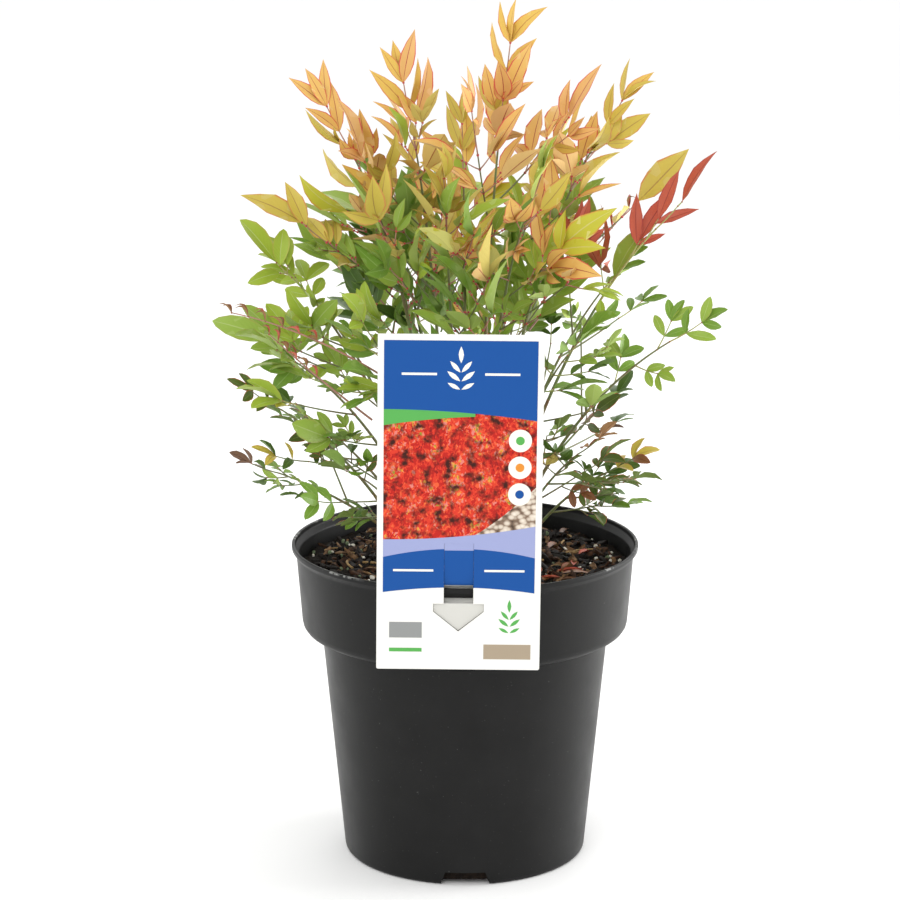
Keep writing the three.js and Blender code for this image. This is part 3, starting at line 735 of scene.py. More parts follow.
@dataclass
class Pot:
    """The nursery pot: a tapering wall, a step, a collar and a lip, with openings round its foot."""

    height: float = 185.5
    wall: float = 1.8
    floor: float = 2.5
    foot_radius: float = 70.6
    shoulder_radius: float = 83.6
    shoulder: float = 135.0
    collar_foot: float = 94.4
    collar_top: float = 98.0
    lip_radius: float = 100.6
    lip_height: float = 2.5
    flare: float = 3.0
    foot_round: float = 3.0
    collar_round: float = 5.5
    lip_edge: float = 0.6
    around: int = 192
    drains: int = 3
    drain_width: float = 29.0
    drain_top: float = 23.0
    drain_height: float = 8.0
    drain_reach: tuple[float, float] = (60.0, 78.0)
    slot_width: float = 18.0
    slot_heights: tuple[float, float] = (175.2, 179.6)
    slot_centre: float = -4.0

    @property
    def shelf(self) -> float:
        """Height of the step's upper side inside."""
        return self.shoulder + self.wall

    @property
    def collar_end(self) -> float:
        """Height at which the collar starts to flare out to the lip."""
        return self.height - self.lip_height - self.flare

    def inside(self, height: Array | float) -> Array | float:
        """Inner radius of the collar at a height above the step."""
        share = (height - self.shelf) / (self.collar_end - self.shelf)
        return lerp(self.collar_foot, self.collar_top, share) - self.wall

    def profile(self) -> Array:
        """Gives the wall's outline, out along the underside, up outside and down inside.

        Returns:
            Radius and height of each point.
        """
        under_lip = self.height - self.lip_height
        edge, wall = self.lip_edge, self.wall
        return rounded([
            (0, 0, 0),
            (self.foot_radius, 0, self.foot_round),
            (self.shoulder_radius, self.shoulder, 1.2),
            (self.collar_foot, self.shoulder, self.collar_round),
            (self.collar_top, self.collar_end, 0.9),
            (self.lip_radius, under_lip, edge),
            (self.lip_radius, self.height, edge),
            (self.lip_radius - wall, self.height, edge),
            (self.lip_radius - wall, under_lip, edge),
            (self.collar_top - wall, self.collar_end, 0.9),
            (self.collar_foot - wall, self.shelf, 2.5),
            (self.shoulder_radius - wall, self.shelf, 1.2),
            (self.foot_radius - wall, self.floor, 2.0),
            (0, self.floor, 0),
        ])

    def cutters(self) -> Surface:
        """Makes the bodies that cut the drain openings and the strap's slot.

        Returns:
            The four bodies as one surface.
        """
        inner, outer = self.drain_reach
        half, top = self.drain_width / 2, self.drain_top / 2
        foot = [(inner, -half, -1), (outer, -half, -1), (outer, half, -1), (inner, half, -1)]
        head = [(inner, -top), (outer, -top), (outer, top), (inner, top)]
        ends = np.array([foot, [(x, y, self.drain_height) for x, y in head]], dtype=float)
        turns = np.radians(-90 + 360 / self.drains * np.arange(self.drains))[:, None, None]
        drains = turned(np.broadcast_to(ends, (self.drains, *ends.shape)), UP, turns)
        low, high = self.slot_heights
        left, right = self.slot_centre - self.slot_width / 2, self.slot_centre + self.slot_width / 2
        front, back = -self.lip_radius, -self.inside(low) + 4
        level = [(left, front), (right, front), (right, back), (left, back)]
        slot = np.array([[[(x, y, z) for x, y in level] for z in (low, high)]])
        bodies = np.concatenate([drains, slot])
        return skin(bodies, bodies.mean(axis=2))

    def build(self) -> bpy.types.Object:
        """Turns the wall on a lathe and cuts its openings.

        Returns:
            The finished pot.
        """
        plain = lathe(self.profile(), self.around)
        finish = MouldedPlastic("pot_plastic", "#0c0c0c", 0.38, 0.5, 0.02, 0.2, lip=self.height)
        whole = make_piece("nursery_pot", plain, [finish], "pot", ["pot"])
        tool = make_piece("pot_cutter", self.cutters(), [finish], "pot")
        cut = whole.modifiers.new("openings", "BOOLEAN")
        cut.operation, cut.solver, cut.object = "DIFFERENCE", "EXACT", tool
        graph = bpy.context.evaluated_depsgraph_get()
        whole.data = bpy.data.meshes.new_from_object(whole.evaluated_get(graph))
        whole.modifiers.clear()
        bpy.data.objects.remove(tool)
        smooth(whole.data)
        return whole


@dataclass
class PottingMix:
    """Moist bark mix with chips, pale splinters, white grains and fallen leaves on top."""

    pot: Pot
    top: float = 174.0
    edge_top: float = 172.6
    flat_radius: float = 32.0
    gap: float = 0.6
    heave: float = 1.2
    wave: float = 50.0
    around: int = 240
    rings: int = 76
    chips: int = 1500
    splinters: int = 70
    grains: int = 190
    fallen: int = 22
    seed: int = 41
    finishes: tuple[Finish, ...] = (
        Mottled("damp_mix", "#0f0b09", 0.9, 1.4, 0.5, 0.12, other="#1f1711", patch=3.0),
        Mottled("dark_bark", "#1c1410", 0.7, 1.0, 0.3, 0.22, other="#0e0a08", patch=2.5),
        Mottled("brown_bark", "#523626", 0.75, 1.0, 0.3, 0.18, other="#241811", patch=3.0),
        Mottled("pale_bark", "#8a6a4c", 0.8, 1.0, 0.3, 0.18, other="#4c3828", patch=3.0),
        Mottled("splinter", "#b0936a", 0.7, 0.8, 0.1, 0.2, other="#86693f", patch=5.0),
        Mottled("white_grain", "#e8e5dc", 0.85, 0.6, 0.15, 0.3, other="#cfc9bb", patch=1.5),
        Mottled("green_crumb", "#7c8a6a", 0.8, 0.6, 0.15, 0.3, other="#55614a", patch=1.5),
    )

    CLODS, CRUMBS, CRUMB_RISE = 9.0, 2.6, 0.7  # widths of the swells, and the smaller ones' rise
    EASE, CALM, ROUGH = 15, 0.35, 0.65  # width over which the surface gets rough, and how rough
    SINK_FROM, SINK_OVER = 0.84, 0.16  # shares of the radius
    CHIP_LEAST, CHIP_SPREAD, CHIP_POWER = 3, 13, 1.8  # lengths, of which the power makes long ones rare
    CHIP_BREADTH, CHIP_DEPTH, CHIP_LIFT = (1.8, 4.6), (0.9, 2.6), (-0.6, 1.8)
    BARK_SHARES, GRAIN_SHARES = {1: 0.6, 2: 0.28, 3: 0.12}, {5: 0.6, 6: 0.4}  # by finish
    GRAIN, UNEVEN, GRAIN_LIFT = (1.2, 3.0), (0.7, 1.1), 1.3
    STICK, STICK_RADIUS, STICK_LIFT, STICK_BOW, STICK_SWAY = (5, 16), (0.25, 0.7), 1.8, 1.5, 9
    SPLINTER = 4  # number of the splinters' finish
    FALLEN, FALLEN_BREADTH, FALLEN_LIFT, FALLEN_OUT = (9, 17), (3.5, 6), 2.4, (50, 80)
    FRONT_RIGHT, FRONT_SHARE = (-60, -18), 0.75  # azimuths where most of the leaves fell

    def __post_init__(self) -> None:
        """Starts the draws and the relief of the surface."""
        self.rng = np.random.default_rng(self.seed)
        self.clods, self.crumbs = Relief(self.CLODS, self.seed + 1), Relief(self.CRUMBS, self.seed + 2)

    def level(self, x: Array, y: Array) -> Array:
        """Gives the height of the mix: low waves, clods and crumbs, sinking at the wall.

        Args:
            x: places across.
            y: places back.

        Returns:
            The height at each place.
        """
        reach = np.hypot(x, y) / self.pot.inside(self.top)
        wave = np.sin(TURN * x / self.wave + 1) * np.cos(TURN * y / self.wave) - 0.4
        outer = np.clip((reach * self.pot.inside(self.top) - self.flat_radius) / self.EASE, 0, 1)
        sunk = (self.top - self.edge_top) * np.clip((reach - self.SINK_FROM) / self.SINK_OVER, 0, 1)
        rough = self.clods(x, y) + self.CRUMB_RISE * self.crumbs(x, y)
        return self.top + self.heave * wave * outer - sunk + rough * (self.CALM + self.ROUGH * outer)

    def ground(self) -> Surface:
        """Makes the body of the mix, with its relief on top.

        Returns:
            The closed body.
        """
        side = self.pot.wall + self.gap
        low = self.pot.floor + self.gap
        shelf = self.pot.shelf + self.gap
        flank = np.array([
            (self.pot.foot_radius - side, low),
            (self.pot.shoulder_radius - side, shelf),
            (self.pot.collar_foot - side - 2, shelf),
            (self.pot.collar_foot - side, shelf + 2),
        ])
        edge = self.pot.inside(self.edge_top) - self.gap
        radii = np.linspace(edge, 0, self.rings + 1)[:-1]
        angle = circle(self.around, 360)
        upper = polar(angle, radii[:, None], 0.0)
        upper[..., 2] = self.level(upper[..., 0], upper[..., 1])
        rings = np.concatenate([polar(angle, flank[:, :1], flank[:, 1:]), upper])
        peak = self.level(np.zeros(1), np.zeros(1))[0]
        return skin(rings[None], np.array([[[0, 0, low], [0, 0, peak]]]))

    def scatter(self, count: int, margin: float, inner: float = 0.0) -> Array:
        """Draws even places on the mix, clear of the wall by a margin.

        Args:
            count: how many places.
            margin: least distance from the wall.
            inner: radius inside which there are none.

        Returns:
            Points on the mix.
        """
        outer = self.pot.inside(self.top) - margin
        radius = np.sqrt(self.rng.uniform(inner ** 2, outer ** 2, count))
        spots = polar(self.rng.uniform(0, 360, count), radius, 0.0)
        spots[:, 2] = self.level(spots[:, 0], spots[:, 1])
        return spots

    def lumps(self, centres: Array, sizes: Array, tilt: float, ragged: float, slots: Array) -> Surface:
        """Makes flat or round lumps: three ragged rings of seven points round a squashed ball.

        Args:
            centres: the middle of each lump.
            sizes: length, width and thickness of each.
            tilt: how far they may lean, in radians.
            ragged: how far a point may stray, as a share.
            slots: each lump's finish number.

        Returns:
            The closed lumps as one surface.
        """
        count, points = len(centres), 7
        angle = circle(points)
        lift = np.array([-0.7, 0.1, 0.8])[:, None]
        wide = np.sqrt(1 - 0.55 * lift ** 2)
        ring = np.stack(np.broadcast_arrays(wide * np.cos(angle), wide * np.sin(angle), lift), axis=-1)
        stray = self.rng.uniform(1 - ragged, 1 + ragged, (count, 1, points, 1))
        body = ring * stray * sizes[:, None, None] / 2
        poles = np.array([-UP, UP]) * sizes[:, None] / 2
        yaw, lean = self.rng.uniform(0, TURN, count), self.rng.uniform(-tilt, tilt, count)
        axis = polar(self.rng.uniform(0, 360, count), 1.0, 0.0)

        def placed(shape: Array) -> Array:
            """Turns and moves a row of shapes.

            Args:
                shape: places, indexed by shape first.

            Returns:
                The same places in the part's frame.
            """
            extra = (1,) * (shape.ndim - 2)
            spun = turned(shape, UP, yaw.reshape(-1, *extra))
            leant = turned(spun, axis.reshape(-1, *extra, 3), lean.reshape(-1, *extra))
            return leant + centres.reshape(-1, *extra, 3)

        return skin(placed(body), placed(poles), np.reshape(slots, (-1, 1, 1)))

    def deal(self, shares: dict[int, float], count: int) -> Array:
        """Draws finish numbers by their shares."""
        return self.rng.choice(list(shares), count, p=list(shares.values()))

    def bark(self) -> Surface:
        """Makes the chips, more of them dark than pale.

        Returns:
            The chips as one surface.
        """
        count, rng = self.chips, self.rng
        sizes = np.stack([
            self.CHIP_LEAST + self.CHIP_SPREAD * rng.uniform(0, 1, count) ** self.CHIP_POWER,
            rng.uniform(*self.CHIP_BREADTH, count),
            rng.uniform(*self.CHIP_DEPTH, count),
        ], axis=-1)
        centres = self.scatter(count, 9.0, 4.0) + UP * rng.uniform(*self.CHIP_LIFT, (count, 1))
        return self.lumps(centres, sizes, 0.95, 0.42, self.deal(self.BARK_SHARES, count))

    def crumbles(self) -> Surface:
        """Makes the white grains and greenish crumbs.

        Returns:
            The grains as one surface.
        """
        count, rng = self.grains, self.rng
        size = rng.uniform(*self.GRAIN, (count, 1)) * rng.uniform(*self.UNEVEN, (count, 3))
        centres = self.scatter(count, 4.0, 6.0) + UP * self.GRAIN_LIFT
        return self.lumps(centres, size, 1.0, 0.2, self.deal(self.GRAIN_SHARES, count))

    def sticks(self) -> Surface:
        """Makes thin pale splinters that lie across the chips.

        Returns:
            The splinters as one surface.
        """
        count, steps = self.splinters, 5
        centres = self.scatter(count, 16.0, 8.0) + UP * self.STICK_LIFT
        along = polar(self.rng.uniform(0, 360, count), 1.0, self.rng.uniform(-0.12, 0.12, count))
        length = self.rng.uniform(*self.STICK, (count, 1, 1))
        share = np.linspace(-0.5, 0.5, steps)[:, None]
        sideways = np.cross(UP, along) * self.rng.uniform(-self.STICK_SWAY, self.STICK_SWAY, (count, 1))
        bow = (UP * self.STICK_BOW + sideways)[:, None] * (0.25 - share ** 2)
        path = centres[:, None] + along[:, None] * length * share + bow
        radius = self.rng.uniform(*self.STICK_RADIUS, (count, 1, 1)) * np.ones((1, steps, 5))
        return tubes(path, np.broadcast_to(UP, (count, 3)), radius, self.SPLINTER)

    def leaves(self) -> Surface:
        """Makes the fallen leaves, curled and gone orange, red and brown, most at the front right.

        Returns:
            The leaves as one surface.
        """
        count = self.fallen
        near = self.rng.uniform(0, 1, count) < self.FRONT_SHARE
        azimuth = np.where(near, self.rng.uniform(*self.FRONT_RIGHT, count), self.rng.uniform(0, 360, count))
        spots = polar(azimuth, self.rng.uniform(*self.FALLEN_OUT, count), 0.0)
        spots[:, 2] = self.level(spots[:, 0], spots[:, 1]) + self.FALLEN_LIFT
        along = polar(self.rng.uniform(0, 360, count), 1.0, 0.0)
        choice = self.rng.choice([Tint.CORAL, Tint.BRONZE, Tint.WITHERED], count, p=[0.3, 0.4, 0.3])
        rows = Blades(
            root=spots - along * 8, direction=along, across=np.cross(UP, along),
            length=self.rng.uniform(*self.FALLEN, count),
            breadth=self.rng.uniform(*self.FALLEN_BREADTH, count),
            arch=self.rng.uniform(-0.25, 0.35, count), fold=self.rng.uniform(0.2, 0.9, count),
            sway=self.rng.uniform(-0.15, 0.15, count), tint=np.array([TINTS.index(one) for one in choice]),
        )
        return rows.surface(OLD_BLADE)

    def build(self) -> list[bpy.types.Object]:
        """Makes the ground and what lies on it.

        Returns:
            The pieces.
        """
        return [
            make_piece("mix_ground", self.ground(), self.finishes, "potting_mix", ["potting_mix"]),
            make_piece("bark_chips", self.bark(), self.finishes, "potting_mix"),
            make_piece("mix_grains", self.crumbles(), self.finishes, "potting_mix"),
            make_piece("splinters", self.sticks(), self.finishes, "potting_mix"),
            make_piece("fallen_leaves", self.leaves(), LEAF_FINISHES, "old_leaf"),
        ]


# ---------- plant label ----------


class Ink(Enum):
    """Colours of the label, as places in its list of finishes."""

    CARD = "#e6e5e0"
    BLUE = "#164d94"
    LAVENDER = "#979ec6"
    GRASS = "#57a552"
    CREAM = "#ece9dd"
    TAN = "#a3947f"
    GREY = "#8d8f8e"
    ORANGE = "#d98a35"
    HEAD = "#c9c8c2"
    FOLIAGE = "#b3241d"
    STONES = "#cdbfae"


INKS = list(Ink)
PICTURES = {Ink.FOLIAGE: PrintedFoliage, Ink.STONES: PrintedStones}
INK_FINISHES = [
    PICTURES.get(ink, Finish)(f"label_{ink.name.lower()}", ink.value, 0.4, 0.35, 0.006, 0.14) for ink in INKS
]


# Small straight marks: ink, left and right of the card's middle, foot, height, and the inks under them.
RULES = (
    (Ink.CREAM, -32, -13, 306, 1.3, 5), (Ink.CREAM, 13, 32, 306, 1.3, 5),
    (Ink.CREAM, 14, 36, 196, 1.2, 5), (Ink.CREAM, -36, -14, 196, 1.2, 5),
    (Ink.TAN, 14, 40, 146, 8.5, 0), (Ink.GREY, -38, -20, 158, 9, 0), (Ink.GRASS, -38, -20, 150, 2.2, 0),
)
SPOTS = ((270, Ink.GRASS), (255, Ink.ORANGE), (240, Ink.BLUE))  # height and colour
PRINT_STATIONS = 33  # places along a printed edge
SPOT_IN, SPOT_RADIUS, DOT_RADIUS = 9, 6.3, 2.4


@dataclass(frozen=True)
class Edge:
    """An edge of a printed area: base + slope u + arch u to the power, with u = (x - start) / span."""

    base: float
    slope: float = 0.0
    arch: float = 0.0
    start: float = 0.0
    span: float = 1.0
    power: float = 2.0

    def height(self, x: Array | float) -> Array | float:
        """Gives its height at x."""
        share = (x - self.start) / self.span
        return self.base + self.slope * share + self.arch * share ** self.power


@dataclass
class Label:
    """The plant label: a plastic card hung from the lip by a strap, with a plain printed design."""

    pot: Pot
    centre: float = -4.0
    width: float = 90.0
    bottom: float = 140.0
    top: float = 328.5
    corner: float = 1.2
    thick: float = 0.7
    face: float = -102.7
    roll: float = 0.6
    strap_width: float = 16.0
    strap_top: float = 212.0
    strap_thick: float = 0.6
    over_lip: float = 1.1
    behind_collar: float = 2.6
    head_face: float = -101.5
    head_width: float = 27.5
    head_top: float = 177.5
    head_shoulder: float = 173.0
    head_tip: float = 162.0
    clearance: float = 0.12
    border: float = 3.4
    ink: float = 0.03

    def __post_init__(self) -> None:
        """Works out the printed field and the upper edge of its lower blue band."""
        self.half = self.width / 2 - self.border
        self.left, self.right = self.centre - self.half, self.centre + self.half
        self.band = Edge(209, 0, -5, self.centre, self.half)

    def hung(self, surface: Surface) -> Surface:
        """Turns a flat piece by the angle at which the card hangs.

        Args:
            surface: a piece of the label, upright.

        Returns:
            The same piece, turned about the strap.
        """
        middle = np.array([self.centre, 0, self.pot.height])
        angle = np.radians(np.full(len(surface.points), self.roll))
        surface.points = turned(surface.points - middle, np.array([0.0, 1.0, 0.0]), angle) + middle
        return surface

    def outline(self) -> Array:
        """Gives the card's edge with its rounded corners, anticlockwise from the front.

        Returns:
            X and Z of each point.
        """
        left, right = self.centre - self.width / 2, self.centre + self.width / 2
        low, high, take = self.bottom, self.top, self.corner
        middle = (self.centre, low, 0)
        ring = rounded([
            middle, (right, low, take), (right, high, take), (left, high, take), (left, low, take), middle,
        ])
        return ring[:-1]

    def window(self) -> Array:
        """Gives the edge of the opening that the strap and its arrow head are cut from.

        Returns:
            X and Z of each point.
        """
        neck = self.strap_width / 2 + self.clearance
        head = self.head_width / 2 + self.clearance
        shoulder, tip = self.head_shoulder, self.head_tip - 2 * self.clearance
        top = self.head_top + self.clearance
        side = np.array([(neck, self.strap_top), (neck, top), (head, top), (head, shoulder), (0, tip)])
        mirrored = side[-2::-1] * [-1, 1]
        return np.concatenate([side, mirrored]) + [self.centre, 0]

    def card(self) -> Surface:
        """Makes the card as a plate with its window.

        Returns:
            The closed card, hung.
        """
        loops = [self.outline(), self.window()]
        flat = np.concatenate(loops)
        count = len(flat)
        inner = tessellate_polygon([[(x, z, 0) for x, z in loop] for loop in loops])
        front = np.array([list(corners) + [-1] for corners in inner])
        spots = np.stack([flat[:, 0], np.full(count, self.face), flat[:, 1]], axis=-1)
        edges = np.cross(spots[front[:, 1]] - spots[front[:, 0]], spots[front[:, 2]] - spots[front[:, 0]])
        inwards = edges[:, 1] > 0
        front[inwards] = front[inwards][:, [0, 2, 1, 3]]
        back = np.where(front < 0, -1, front + count)[:, [0, 2, 1, 3]]
        rims, start = [], 0
        for loop in loops:
            here = start + np.arange(len(loop))
            ahead = np.roll(here, -1)
            rims.append(np.stack([here, here + count, ahead + count, ahead], axis=-1))
            start += len(loop)
        faces = np.concatenate([front, back, *rims])
        points = np.concatenate([spots, spots + [0, self.thick, 0]])
        return self.hung(Surface(points, faces, np.full(len(faces), INKS.index(Ink.CARD))))

    def route(self) -> Array:
        """Gives the strap's path in Y and Z: down the card, over the lip and out through the slot.

        Returns:
            Y and Z of each point, from the card to the arrow head.
        """
        card = self.face + self.thick / 2
        lip_top = self.pot.height + self.over_lip
        inside = -(self.pot.collar_top - self.pot.wall) + self.behind_collar
        slot = lerp(*self.pot.slot_heights, 0.4)
        head = self.head_face + self.strap_thick / 2 + 0.1
        return np.array([
            (card, self.strap_top + 1),
            (card + 0.2, self.strap_top - 12),
            (card + 1.6, lip_top + 3.6),
            (-self.pot.lip_radius + 2.6, lip_top + 0.3),
            (inside - 2, lip_top - 0.6),
            (inside, self.pot.height - 3.5),
            (inside + 0.1, self.pot.slot_heights[1] + 0.4),
            (inside - 1.2, slot + 0.2),
            (-self.pot.collar_top, slot - 0.3),
            (head + 1.6, slot - 0.4),
            (head, slot - 2.2),
            (head, self.head_shoulder),
        ])

    def strap(self) -> Surface:
        """Carries a thin band along the route, a smooth curve through its points.

        Returns:
            The closed band, hung.
        """
        knots = self.route()
        before, after = 2 * knots[0] - knots[1], 2 * knots[-1] - knots[-2]
        padded = np.concatenate([[before], knots, [after]])
        t = np.linspace(0, 1, 9)[:-1][:, None]
        slope = 0.5 * (padded[2:] - padded[:-2])
        stretches = [
            (2 * t ** 3 - 3 * t ** 2 + 1) * a + (t ** 3 - 2 * t ** 2 + t) * m
            + (3 * t ** 2 - 2 * t ** 3) * b + (t ** 3 - t ** 2) * n
            for a, b, m, n in zip(knots[:-1], knots[1:], slope[:-1], slope[1:])
        ]
        line = np.concatenate([*stretches, knots[-1:]])
        along = unit(np.gradient(line, axis=0))
        outward = np.stack([along[:, 1], -along[:, 0]], axis=-1)
        half, thin = self.strap_width / 2, self.strap_thick / 2
        corners = [(-half, thin), (-half, -thin), (half, -thin), (half, thin)]
        rings = np.stack([
            np.column_stack([np.full(len(line), self.centre + x), line + outward * out]) for x, out in corners
        ], axis=1)
        ends = np.column_stack([np.full(2, self.centre), line[[0, -1]]])
        height = line[:-1, 1]
        inked = np.where(height > self.band.base, INKS.index(Ink.LAVENDER), INKS.index(Ink.BLUE))
        inked = np.where((height > self.pot.height + 1) & (line[:-1, 0] < self.face + 4), inked, 0)
        slots = np.zeros((1, len(inked), 4), dtype=int)
        slots[0, :, 3] = inked
        slots[0, -12:] = INKS.index(Ink.HEAD)
        return self.hung(skin(rings[None], ends[None], slots))

    def region(self, ink: Ink, left: float, right: float, low: Edge, high: Edge, level: int) -> Surface:
        """Prints the area between two edges over a stretch of X.

        Args:
            ink: its colour.
            left: where it starts.
            right: where it ends.
            low: its lower edge.
            high: its upper edge.
            level: how many inks lie under it.

        Returns:
            A thin closed plate.
        """
        x = np.linspace(left, right, PRINT_STATIONS)
        back, front = self.face - level * self.ink, self.face - (level + 1) * self.ink
        corners = [(back, low), (back, high), (front, high), (front, low)]
        lines = [np.stack([x, np.full(len(x), y), edge.height(x)], axis=-1) for y, edge in corners]
        rings = np.stack(lines, axis=1)
        return skin(rings[None], rings[None, [0, -1]].mean(axis=2), INKS.index(ink))

    def shapes(
        self, places: Array, length: Array, width: Array, angle: Array, inks: Array, level: int,
    ) -> Surface:
        """Prints leaf-shaped marks: a ring of eight points, narrow at both ends.

        Args:
            places: the middle of each mark in X and Z.
            length: each mark's length.
            width: each mark's width.
            angle: its slope in radians.
            inks: finish numbers.
            level: how many inks lie under it.

        Returns:
            Thin closed plates.
        """
        side = [(1, 0), (0.45, 0.75), (0, 1), (-0.5, 0.7)]
        flat = np.array(side + [(-1, 0)] + [(x, -z) for x, z in side[:0:-1]])
        flat = flat * np.stack([length, width], axis=-1)[:, None] / 2
        along, across = flat[..., 0], flat[..., 1]
        cos, sin = np.cos(angle)[:, None], np.sin(angle)[:, None]
        spun = np.stack([along * cos - across * sin, along * sin + across * cos], axis=-1)
        return prisms(spun + places[:, None], self.face - level * self.ink, self.ink, inks)

    def disc(self, ink: Ink, x: float, z: float, radius: float, level: int) -> Surface:
        """Prints one round spot.

        Args:
            ink: its colour.
            x: its place across.
            z: its height.
            radius: its radius.
            level: how many inks lie under it.

        Returns:
            A thin closed plate.
        """
        angle = circle(32)
        ring = np.stack([x + radius * np.cos(angle), z + radius * np.sin(angle)], axis=-1)
        return prisms(ring[None], self.face - level * self.ink, self.ink, INKS.index(ink))

    def fields(self) -> list[Surface]:
        """Prints foliage with a slope of pebbles, a green sweep, and bands that leave the window free.

        Returns:
            A thin plate for each.
        """
        left, right, x = self.left, self.right, self.centre
        card = {"start": left, "span": right - left}
        neck = self.strap_width / 2 + self.clearance
        ground, lavender, foot = Edge(213), Edge(214, 0, 8, **card), Edge(187, 0, -3, x, self.half)
        pebbles = x + 2
        rows = [
            (Ink.FOLIAGE, left, right, ground, Edge(292), 0),
            (Ink.STONES, pebbles, right, ground, Edge(214, 0, 30, pebbles, right - pebbles, 1.3), 1),
            (Ink.GRASS, left, x + 8, Edge(278, 14, -9, **card), Edge(289, 0, -6, **card), 3),
            (Ink.BLUE, left, right, Edge(287, 0, -6, **card), Edge(self.top - self.border), 4),
            (Ink.LAVENDER, x - neck, x + neck, Edge(self.strap_top), lavender, 3),
        ]
        for start, end in ((left, x - neck), (x + neck, right)):
            rows.append((Ink.LAVENDER, start, end, self.band, lavender, 3))
            rows.append((Ink.BLUE, start, end, foot, self.band, 4))
        return [self.region(*row) for row in rows]

    def sprig(self, ink: Ink, x: float, z: float, size: float, level: int) -> Surface:
        """Prints a plain sprig of seven leaf marks in pairs.

        Args:
            ink: its colour.
            x: its place across.
            z: height of its foot.
            size: its height.
            level: how many inks lie under it.

        Returns:
            Thin closed plates.
        """
        turns = np.radians([90, 48, 132, 38, 142, 28, 152])
        rise = np.array([0.95, 0.62, 0.62, 0.3, 0.3, 0.0, 0.0]) * size
        length = np.array([0.62, 0.56, 0.56, 0.6, 0.6, 0.52, 0.52]) * size
        reach = np.stack([np.cos(turns), np.sin(turns)], axis=-1) * length[:, None] * 0.55
        places = np.array([x, z]) + np.stack([0 * rise, rise], axis=-1) + reach
        return self.shapes(places, length, 0.3 * length, turns, np.full(7, INKS.index(ink)), level)

    def marks(self) -> list[Surface]:
        """Prints the small plain shapes: sprigs, rules, spots and two blocks.

        Returns:
            A thin plate for each.
        """
        x = self.centre
        rules = [
            self.region(ink, x + left, x + right, Edge(foot), Edge(foot + height), level)
            for ink, left, right, foot, height, level in RULES
        ]
        spots = [
            self.disc(colour, self.right - SPOT_IN, z, radius, level)
            for z, ink in SPOTS
            for colour, radius, level in ((Ink.CREAM, SPOT_RADIUS, 5), (ink, DOT_RADIUS, 6))
        ]
        sprigs = [self.sprig(Ink.CREAM, x, 298, 15, 5), self.sprig(Ink.GRASS, x + 28, 161, 12, 0)]
        return sprigs + rules + spots

    def build(self) -> list[bpy.types.Object]:
        """Makes the card with its strap, and the print.

        Returns:
            Both pieces.
        """
        x, y = self.centre, self.head_face + self.strap_thick
        neck, head = self.strap_width / 2, self.head_width / 2
        arrow = np.array([[
            (x, self.head_tip), (x + head, self.head_shoulder), (x + head, self.head_top),
            (x - head, self.head_top), (x - head, self.head_shoulder),
        ]])
        tip = self.hung(prisms(arrow, y, self.strap_thick, INKS.index(Ink.HEAD)))
        plain = Surface.join([self.card(), self.strap(), tip])
        printed = self.hung(Surface.join(self.fields() + self.marks()))
        return [
            make_piece("label_card", plain, INK_FINISHES, "label", ["plant_label"]),
            make_piece("label_print", printed, INK_FINISHES, "label", ["plant_label"]),
        ]


# ---------- growth rule ----------


@dataclass(frozen=True)
class Tier:
    """What the shoots of one storey share, in the words of the solids' source."""

    name: str
    foot: float
    cane_radius: float
    tip_radius: float
    out: float
    up: float
    bare: float
    frond: float
    leaf: float
    breadth: float
    rise: float
    fork: tuple[float, float]
    slot: str
    # Below this height, and higher still further out, leaves take older tints that are greener and darkened
    # as painted shade.
    older_below: float
    older_out: float = 0.6


TALL = Tier("tall", 8, 2.4, 1.6, 0.25, 0.6, 0.42, 58, 50, 22, 0.16, (58, 36), "young_leaf", 396, 0.18)
MIDDLE = Tier("middle", 16, 2.1, 1.5, 0.28, 0.58, 0.4, 50, 46, 21, 0.06, (58, 40), "green_leaf", 308, 0.35)
LOW = Tier("low", 23, 1.8, 1.4, 0.32, 0.54, 0.38, 40, 36, 17, 0.04, (52, 44), "old_leaf", 205)

# Tier, azimuth, reach and height of the furthest leaf tip, number of side fronds, and main tint.
SHOOTS = [
    (TALL, 335, 30, 495, 4, Tint.AMBER),
    (TALL, 205, 42, 473, 4, Tint.AMBER),
    (TALL, 8, 100, 457, 3, Tint.GOLD),
    (TALL, 174, 88, 455, 3, Tint.PEACH),
    (TALL, 92, 62, 440, 4, Tint.GOLD),
    (TALL, 258, 62, 424, 4, Tint.AMBER),
    (TALL, 50, 96, 424, 3, Tint.AMBER),
    (TALL, 132, 96, 408, 4, Tint.OLIVE),
    (TALL, 305, 82, 426, 3, Tint.GOLD),
    (MIDDLE, 182, 131, 374, 3, Tint.LIME),
    (MIDDLE, 352, 139, 405, 1, Tint.CORAL),
    (MIDDLE, 341, 159, 337, 1, Tint.LIME),
    (MIDDLE, 206, 143, 328, 2, Tint.YELLOW),
    (MIDDLE, 232, 112, 352, 3, Tint.LIME),
    (MIDDLE, 314, 112, 340, 3, Tint.FRESH),
    (MIDDLE, 154, 134, 352, 3, Tint.LIME),
    (MIDDLE, 112, 134, 362, 3, Tint.OLIVE),
    (MIDDLE, 70, 134, 354, 3, Tint.OLIVE),
    (MIDDLE, 27, 128, 362, 2, Tint.FRESH),
    (LOW, 188, 141, 243, 1, Tint.GREEN),
    (LOW, 197, 138, 291, 1, Tint.RED_EDGED),
    (LOW, 347, 112, 248, 2, Tint.RED_EDGED),
    (LOW, 318, 112, 272, 2, Tint.RED_EDGED),
    (LOW, 226, 116, 258, 2, Tint.DEEP),
    (LOW, 150, 134, 262, 2, Tint.DEEP),
    (LOW, 92, 134, 252, 2, Tint.DEEP),
    (LOW, 38, 134, 266, 2, Tint.DEEP),
]

GAP = 0.3
CLEAR = 0.4


